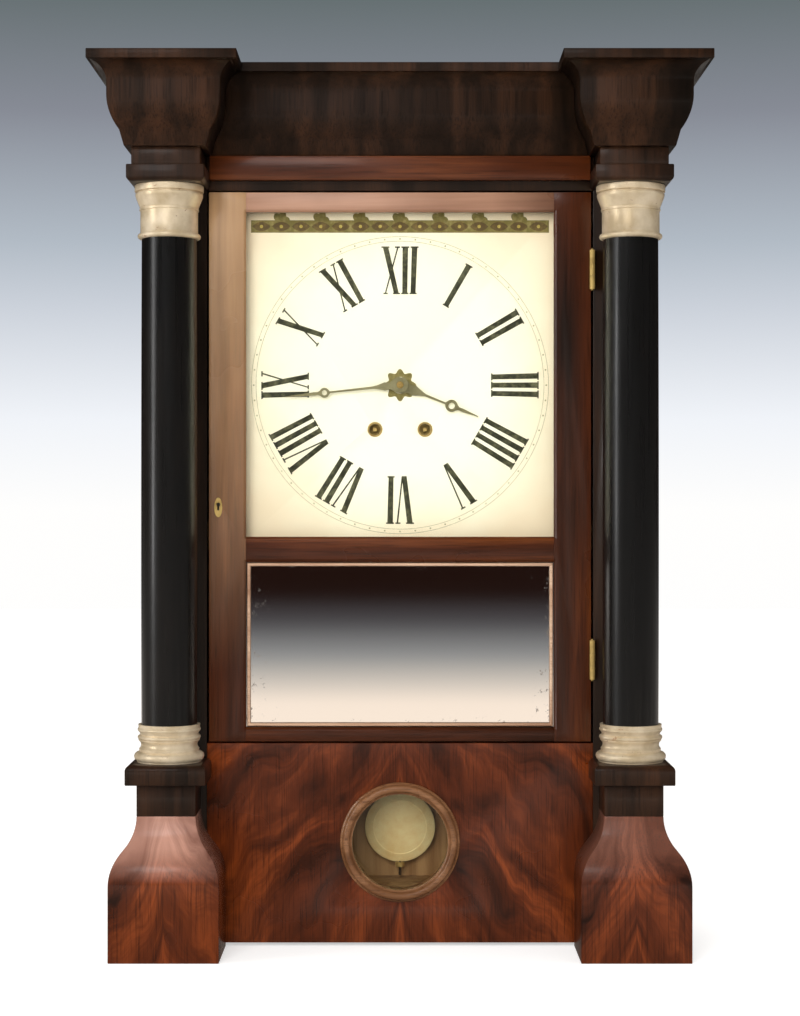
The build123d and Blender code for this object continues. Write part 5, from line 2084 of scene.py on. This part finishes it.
    def rosette(self) -> bpy.types.Object:
        """Small painted rosette round the hands' centre.

        Returns:
            The rosette.
        """
        outline = []
        for number in range(96):
            angle = math.tau * number / 96
            reach = 12.5 + 1.8 * math.cos(8 * angle)
            outline.append((reach * math.cos(angle), reach * math.sin(angle)))
        piece = flat_piece("centre_rosette", [outline, arc((0, 0), 7.4, 0, 352, 44)], self.paint)
        piece.data.transform(Matrix.Translation(self.centre))
        return dress(piece, self.palette.band_olive)

    def grommets(self) -> bpy.types.Object:
        """Brass bush round each winding hole.

        Returns:
            Both bushes as one piece.
        """
        bushes = []
        for name in ("time_drum_turn", "strike_drum_turn"):
            hole = joint_named(name)["pos_m"]
            profile = [(5.0, 0.0), (6.6, 0.0), (6.6, 0.3), (6.2, 0.55), (5.3, 0.55), (5.0, 0.3), (5.0, 0.0)]
            place = Matrix.Translation((hole[0], self.centre.y, hole[2]))
            move = place @ Matrix.Rotation(math.radians(90), 4, "X")
            bushes.append(turned("bush", profile, self.palette.brass, move, 40))
        return merged("winding_bushes", bushes)

    def build(self) -> None:
        """Make the dial."""
        eased("dial_board", "dial", self.palette.dial_paint, "case", "painted_dial", 0.3)
        fit(self.numerals(), "case", "painted_dial")
        fit(self.minute_ring(), "case", "painted_dial")
        for name, side in (("minute_line_in", -1), ("minute_line_out", 1)):
            line = self.ring_line(name, self.ring_radius + side * self.ring_half)
            fit(line, "case", "painted_dial")
        fit(self.rosette(), "case", "painted_dial")
        fit(self.grommets(), "case", "brass")
        self.band()


@dataclass
class Hands:
    """Both hands and the nut that holds them."""

    palette: Palette
    hour_angle: float = 112.0
    minute_angle: float = 264.0
    hour_length: float = 74.0
    minute_length: float = 101.0
    thickness: float = 0.6
    edge: float = 0.12
    nut_tall: float = 1.6

    def outline(self, length: float, root: float, ring: float) -> list[list[Point2]]:
        """Hand pointing up: boss, leaf shaped root, stem, ring and tip.

        Args:
            length: From the centre to the tip, millimetres.
            root: Half the width of the root leaf.
            ring: Outer radius of the ring near the tip.

        Returns:
            The outside and the holes.
        """
        ring_z = length * 0.66
        right = [(6.4, 3.6), (root * 0.8, 9.0), (root, 13.5), (root * 0.55, 19.0), (1.1, 24.0)]
        right += [(0.8, ring_z - ring * 1.1)]
        right += arc((0.0, ring_z), ring, -60, 60, 8)
        right += [(1.3, ring_z + ring + 1.5), (1.5, ring_z + ring + 5.0), (0.35, length)]
        boss = arc((0.0, 0.0), 7.4, 210, 330, 10)
        outside = boss + right + [(-x, z) for x, z in reversed(right)]
        hole = arc((0.0, ring_z), ring * 0.52, 0, 345, 15)
        return [outside, hole]

    def hand(
        self, name: str, node: str, outline: list[list[Point2]], angle: float
    ) -> bpy.types.Object:
        """One hand in its place.

        Args:
            name: Name of the piece.
            node: CAD node that it stands for.
            outline: Its outside and holes, pointing up.
            angle: Degrees clockwise from twelve.

        Returns:
            The hand.
        """
        centre = joint_named("minute_turn")["pos_m"]
        piece = flat_piece(name, outline, self.thickness, self.edge)
        turn = Matrix.Rotation(math.radians(angle), 4, "Y")
        place = Matrix.Translation((centre[0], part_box(node)[1].y, centre[2]))
        piece.data.transform(place @ turn)
        return dress(piece, self.palette.hand_steel)

    def nut(self) -> bpy.types.Object:
        """Small domed collet nut over the minute hand.

        Returns:
            The nut.
        """
        centre = joint_named("minute_turn")["pos_m"]
        profile = [(0.0, 0.0), (3.0, 0.0), (3.0, 0.7), (2.6, 1.2), (1.7, 1.5), (0.0, self.nut_tall)]
        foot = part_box("minute_hand")[0].y + mm(self.nut_tall)
        place = Matrix.Translation((centre[0], foot, centre[2]))
        move = place @ Matrix.Rotation(math.radians(90), 4, "X")
        return turned("hand_collet", profile, self.palette.brass, move, 32)

    def build(self) -> None:
        """Make the hands."""
        outline = self.outline(self.hour_length, root=4.6, ring=5.4)
        hour = self.hand("hour_pointer", "hour_hand", outline, self.hour_angle)
        fit(hour, "hour_pipe", "blued_steel", "hour_hand")
        outline = self.outline(self.minute_length, root=3.6, ring=4.4)
        minute = self.hand("minute_pointer", "minute_hand", outline, self.minute_angle)
        fit(minute, "minute_arbor", "blued_steel", "minute_hand")
        fit(self.nut(), "minute_arbor", "brass")


@dataclass
class Movement:
    """Wheels, plates, cords, weights and bell behind the dial."""

    palette: Palette
    casting_edge: float = 1.2

    def hanging_cord(self, side: str) -> None:
        """Cord from the pulley down to the weight's hook.

        Args:
            side: Train that it belongs to, time or strike.
        """
        node, joint_name = f"{side}_cord_hanging", f"{side}_weight_travel"
        low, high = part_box(node)
        middle = (low + high) / 2
        foot, top = Vector((middle.x, middle.y, low.z)), Vector((middle.x, middle.y, high.z))
        cord = laid_cord(f"{side}_cord", foot, top, (high.x - low.x) / 2, self.palette.cord)
        fit(cord, "case", "cord", node)
        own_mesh(cord)

    def build(self) -> None:
        """Dress the movement."""
        for side in ("time", "strike"):
            self.hanging_cord(side)
        brass = (
            "front_plate", "back_plate", "plate_pillars", "centre_wheel", "hour_wheel", "minute_wheel",
            "time_great_wheel", "third_wheel", "escape_wheel", "time_drum", "time_pulley", "strike_drum",
            "strike_pulley", "pin_wheel", "strike_great_wheel", "locking_wheel", "fly", "bell",
        )
        redress(self.palette.brass, *brass)
        redress(self.palette.steel, "hammer", "pulley_brackets")
        redress(self.palette.cord, "cords_over_pulleys")
        for side in ("time", "strike"):
            node = f"{side}_weight"
            eased(f"{node}_casting", node, self.palette.iron, node, "iron", self.casting_edge)


# Studio


@dataclass
class Studio:
    """Pale floor, soft light and the camera."""

    eye: Point3 = (0.0, -1.806, 0.381)
    lens: float = 73.4
    sensor: float = 36.0
    floor_reach: float = 6.0
    floor_glow: float = 0.5
    even_light: Colour = (0.72, 0.71, 0.70, 1.0)
    backdrop_heights: Point2 = (-0.3, 0.3)
    mirrored_heights: Point2 = (-0.3, 0.5)

    def floor(self) -> None:
        """White floor that keeps the clock's shadow and lets polished pieces see past it."""
        reach = self.floor_reach
        plane = bare_mesh(
            "studio_floor",
            [(-reach, -reach, 0), (reach, -reach, 0), (reach, reach, 0), (-reach, reach, 0)],
            [[0, 1, 2, 3]],
        )
        shader = Shader("floor_white")
        shader.constants(Roughness=0.9, Specular_IOR_Level=0.1)
        shader.surface.inputs["Base Color"].default_value = (0.8, 0.79, 0.78, 1.0)
        shader.surface.inputs["Emission Color"].default_value = (1.0, 0.995, 0.985, 1.0)
        path = shader.add("ShaderNodeLightPath")
        glow = shader.maths("MULTIPLY", path.outputs["Is Camera Ray"], self.floor_glow)
        shader.join(glow, shader.surface.inputs["Emission Strength"])
        clear = shader.add("ShaderNodeBsdfTransparent")
        both = shader.cross(path.outputs["Is Glossy Ray"], shader.surface.outputs[0], clear.outputs[0])
        shader.join(both, shader.output.inputs["Surface"])
        plane.data.materials.append(shader.material)

    def sky(self) -> None:
        """World: even light for the clock, and the photograph's backdrop for what looks at it."""
        world = bpy.data.worlds.new("studio")
        bpy.context.scene.world = world
        world.use_nodes = True
        tree = Tree(world.node_tree)
        output = tree.add("ShaderNodeOutputWorld")
        place = tree.add("ShaderNodeTexCoord")
        split = tree.add("ShaderNodeSeparateXYZ")
        tree.join(place.outputs["Generated"], split.inputs[0])
        height = split.outputs["Z"]
        shown = tree.ramp(
            tree.spread(height, *self.backdrop_heights),
            (
                (0.0, (1.0, 1.0, 1.0, 1.0)), (0.5, (1.0, 0.995, 0.985, 1.0)), (0.57, tint(241, 244, 249)),
                (0.66, tint(203, 209, 218)), (0.71, tint(178, 187, 197)), (0.81, tint(135, 139, 149)),
                (0.9, tint(101, 111, 113)), (1.0, tint(82, 89, 92)),
            ),
        )
        mirrored = tree.ramp(
            tree.spread(height, *self.mirrored_heights),
            (
                (0.0, tint(96, 90, 84)), (0.17, tint(120, 112, 104)), (0.235, tint(255, 244, 232)),
                (0.258, tint(255, 244, 232)), (0.27, tint(212, 208, 202)), (0.286, tint(146, 151, 155)),
                (0.306, tint(76, 76, 81)), (0.322, tint(30, 16, 12)), (1.0, tint(36, 34, 34)),
            ),
        )
        path = tree.add("ShaderNodeLightPath")
        even = self.glow(tree, self.even_light)
        room = tree.cross(path.outputs["Is Glossy Ray"], even, self.glow(tree, mirrored))
        seen = tree.cross(path.outputs["Is Camera Ray"], room, self.glow(tree, shown))
        tree.join(seen, output.inputs["Surface"])

    def glow(self, tree: Tree, colour: object) -> bpy.types.NodeSocket:
        """Background of strength 1.

        Args:
            tree: Node tree of the world.
            colour: Colour or socket.

        Returns:
            The background.
        """
        node = tree.add("ShaderNodeBackground")
        tree.feed(node.inputs["Color"], colour)
        return node.outputs[0]

    def light(
        self, name: str, place: Point3, target: Point3, size: Point2, power: float, mirrored: bool = True
    ) -> None:
        """One soft rectangular lamp, aimed at a point, that polished pieces mirror or do not.

        Args:
            name: Name of the lamp.
            place: Its place, metres.
            target: Point that it faces.
            size: Width and height, metres.
            power: Power, watts.
            mirrored: Whether polished pieces mirror it.
        """
        data = bpy.data.lights.new(name, "AREA")
        data.shape = "RECTANGLE"
        data.size, data.size_y = size
        data.energy = power
        lamp = linked(name, data)
        lamp.location = place
        lamp.visible_glossy = mirrored
        lamp.rotation_euler = (Vector(target) - Vector(place)).to_track_quat("-Z", "Y").to_euler()

    def camera(self) -> None:
        """Camera at the photograph's place, level and without shift."""
        data = bpy.data.cameras.new("photo_camera")
        data.sensor_width = self.sensor
        data.lens = self.lens
        camera = linked("photo_camera", data)
        camera.location = self.eye
        camera.rotation_euler = (math.radians(90), 0.0, 0.0)
        bpy.context.scene.camera = camera

    def build(self) -> None:
        """Make the studio."""
        self.camera()
        self.floor()
        self.sky()
        self.light(
            "fill_card",
            place=(-0.4, -2.3, 1.0),
            target=(0.0, 0.0, 0.45),
            size=(1.3, 1.3),
            power=42.0,
            mirrored=False,
        )
        self.light(
            "high_card", place=(-0.6, -1.9, 1.5), target=(0.0, 0.0, 0.4), size=(0.8, 0.5), power=3.0
        )
        self.light(
            "left_card", place=(-1.9, -0.9, 0.8), target=(0.0, 0.0, 0.38), size=(0.3, 1.3), power=8.0
        )
        bpy.context.scene.view_settings.view_transform = "Standard"


def main() -> None:
    """Build the studio and the clock."""
    logging.basicConfig(level=logging.INFO, format="%(name)s: %(message)s")
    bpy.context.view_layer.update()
    Studio().build()
    palette = Palette()
    Cornice(palette).build()
    Columns(palette).build()
    CaseBody(palette).build()
    PendulumWindow(palette).build()
    Door(palette).build()
    Dial(palette).build()
    Hands(palette).build()
    Movement(palette).build()


if __name__ == "__main__":
    main()
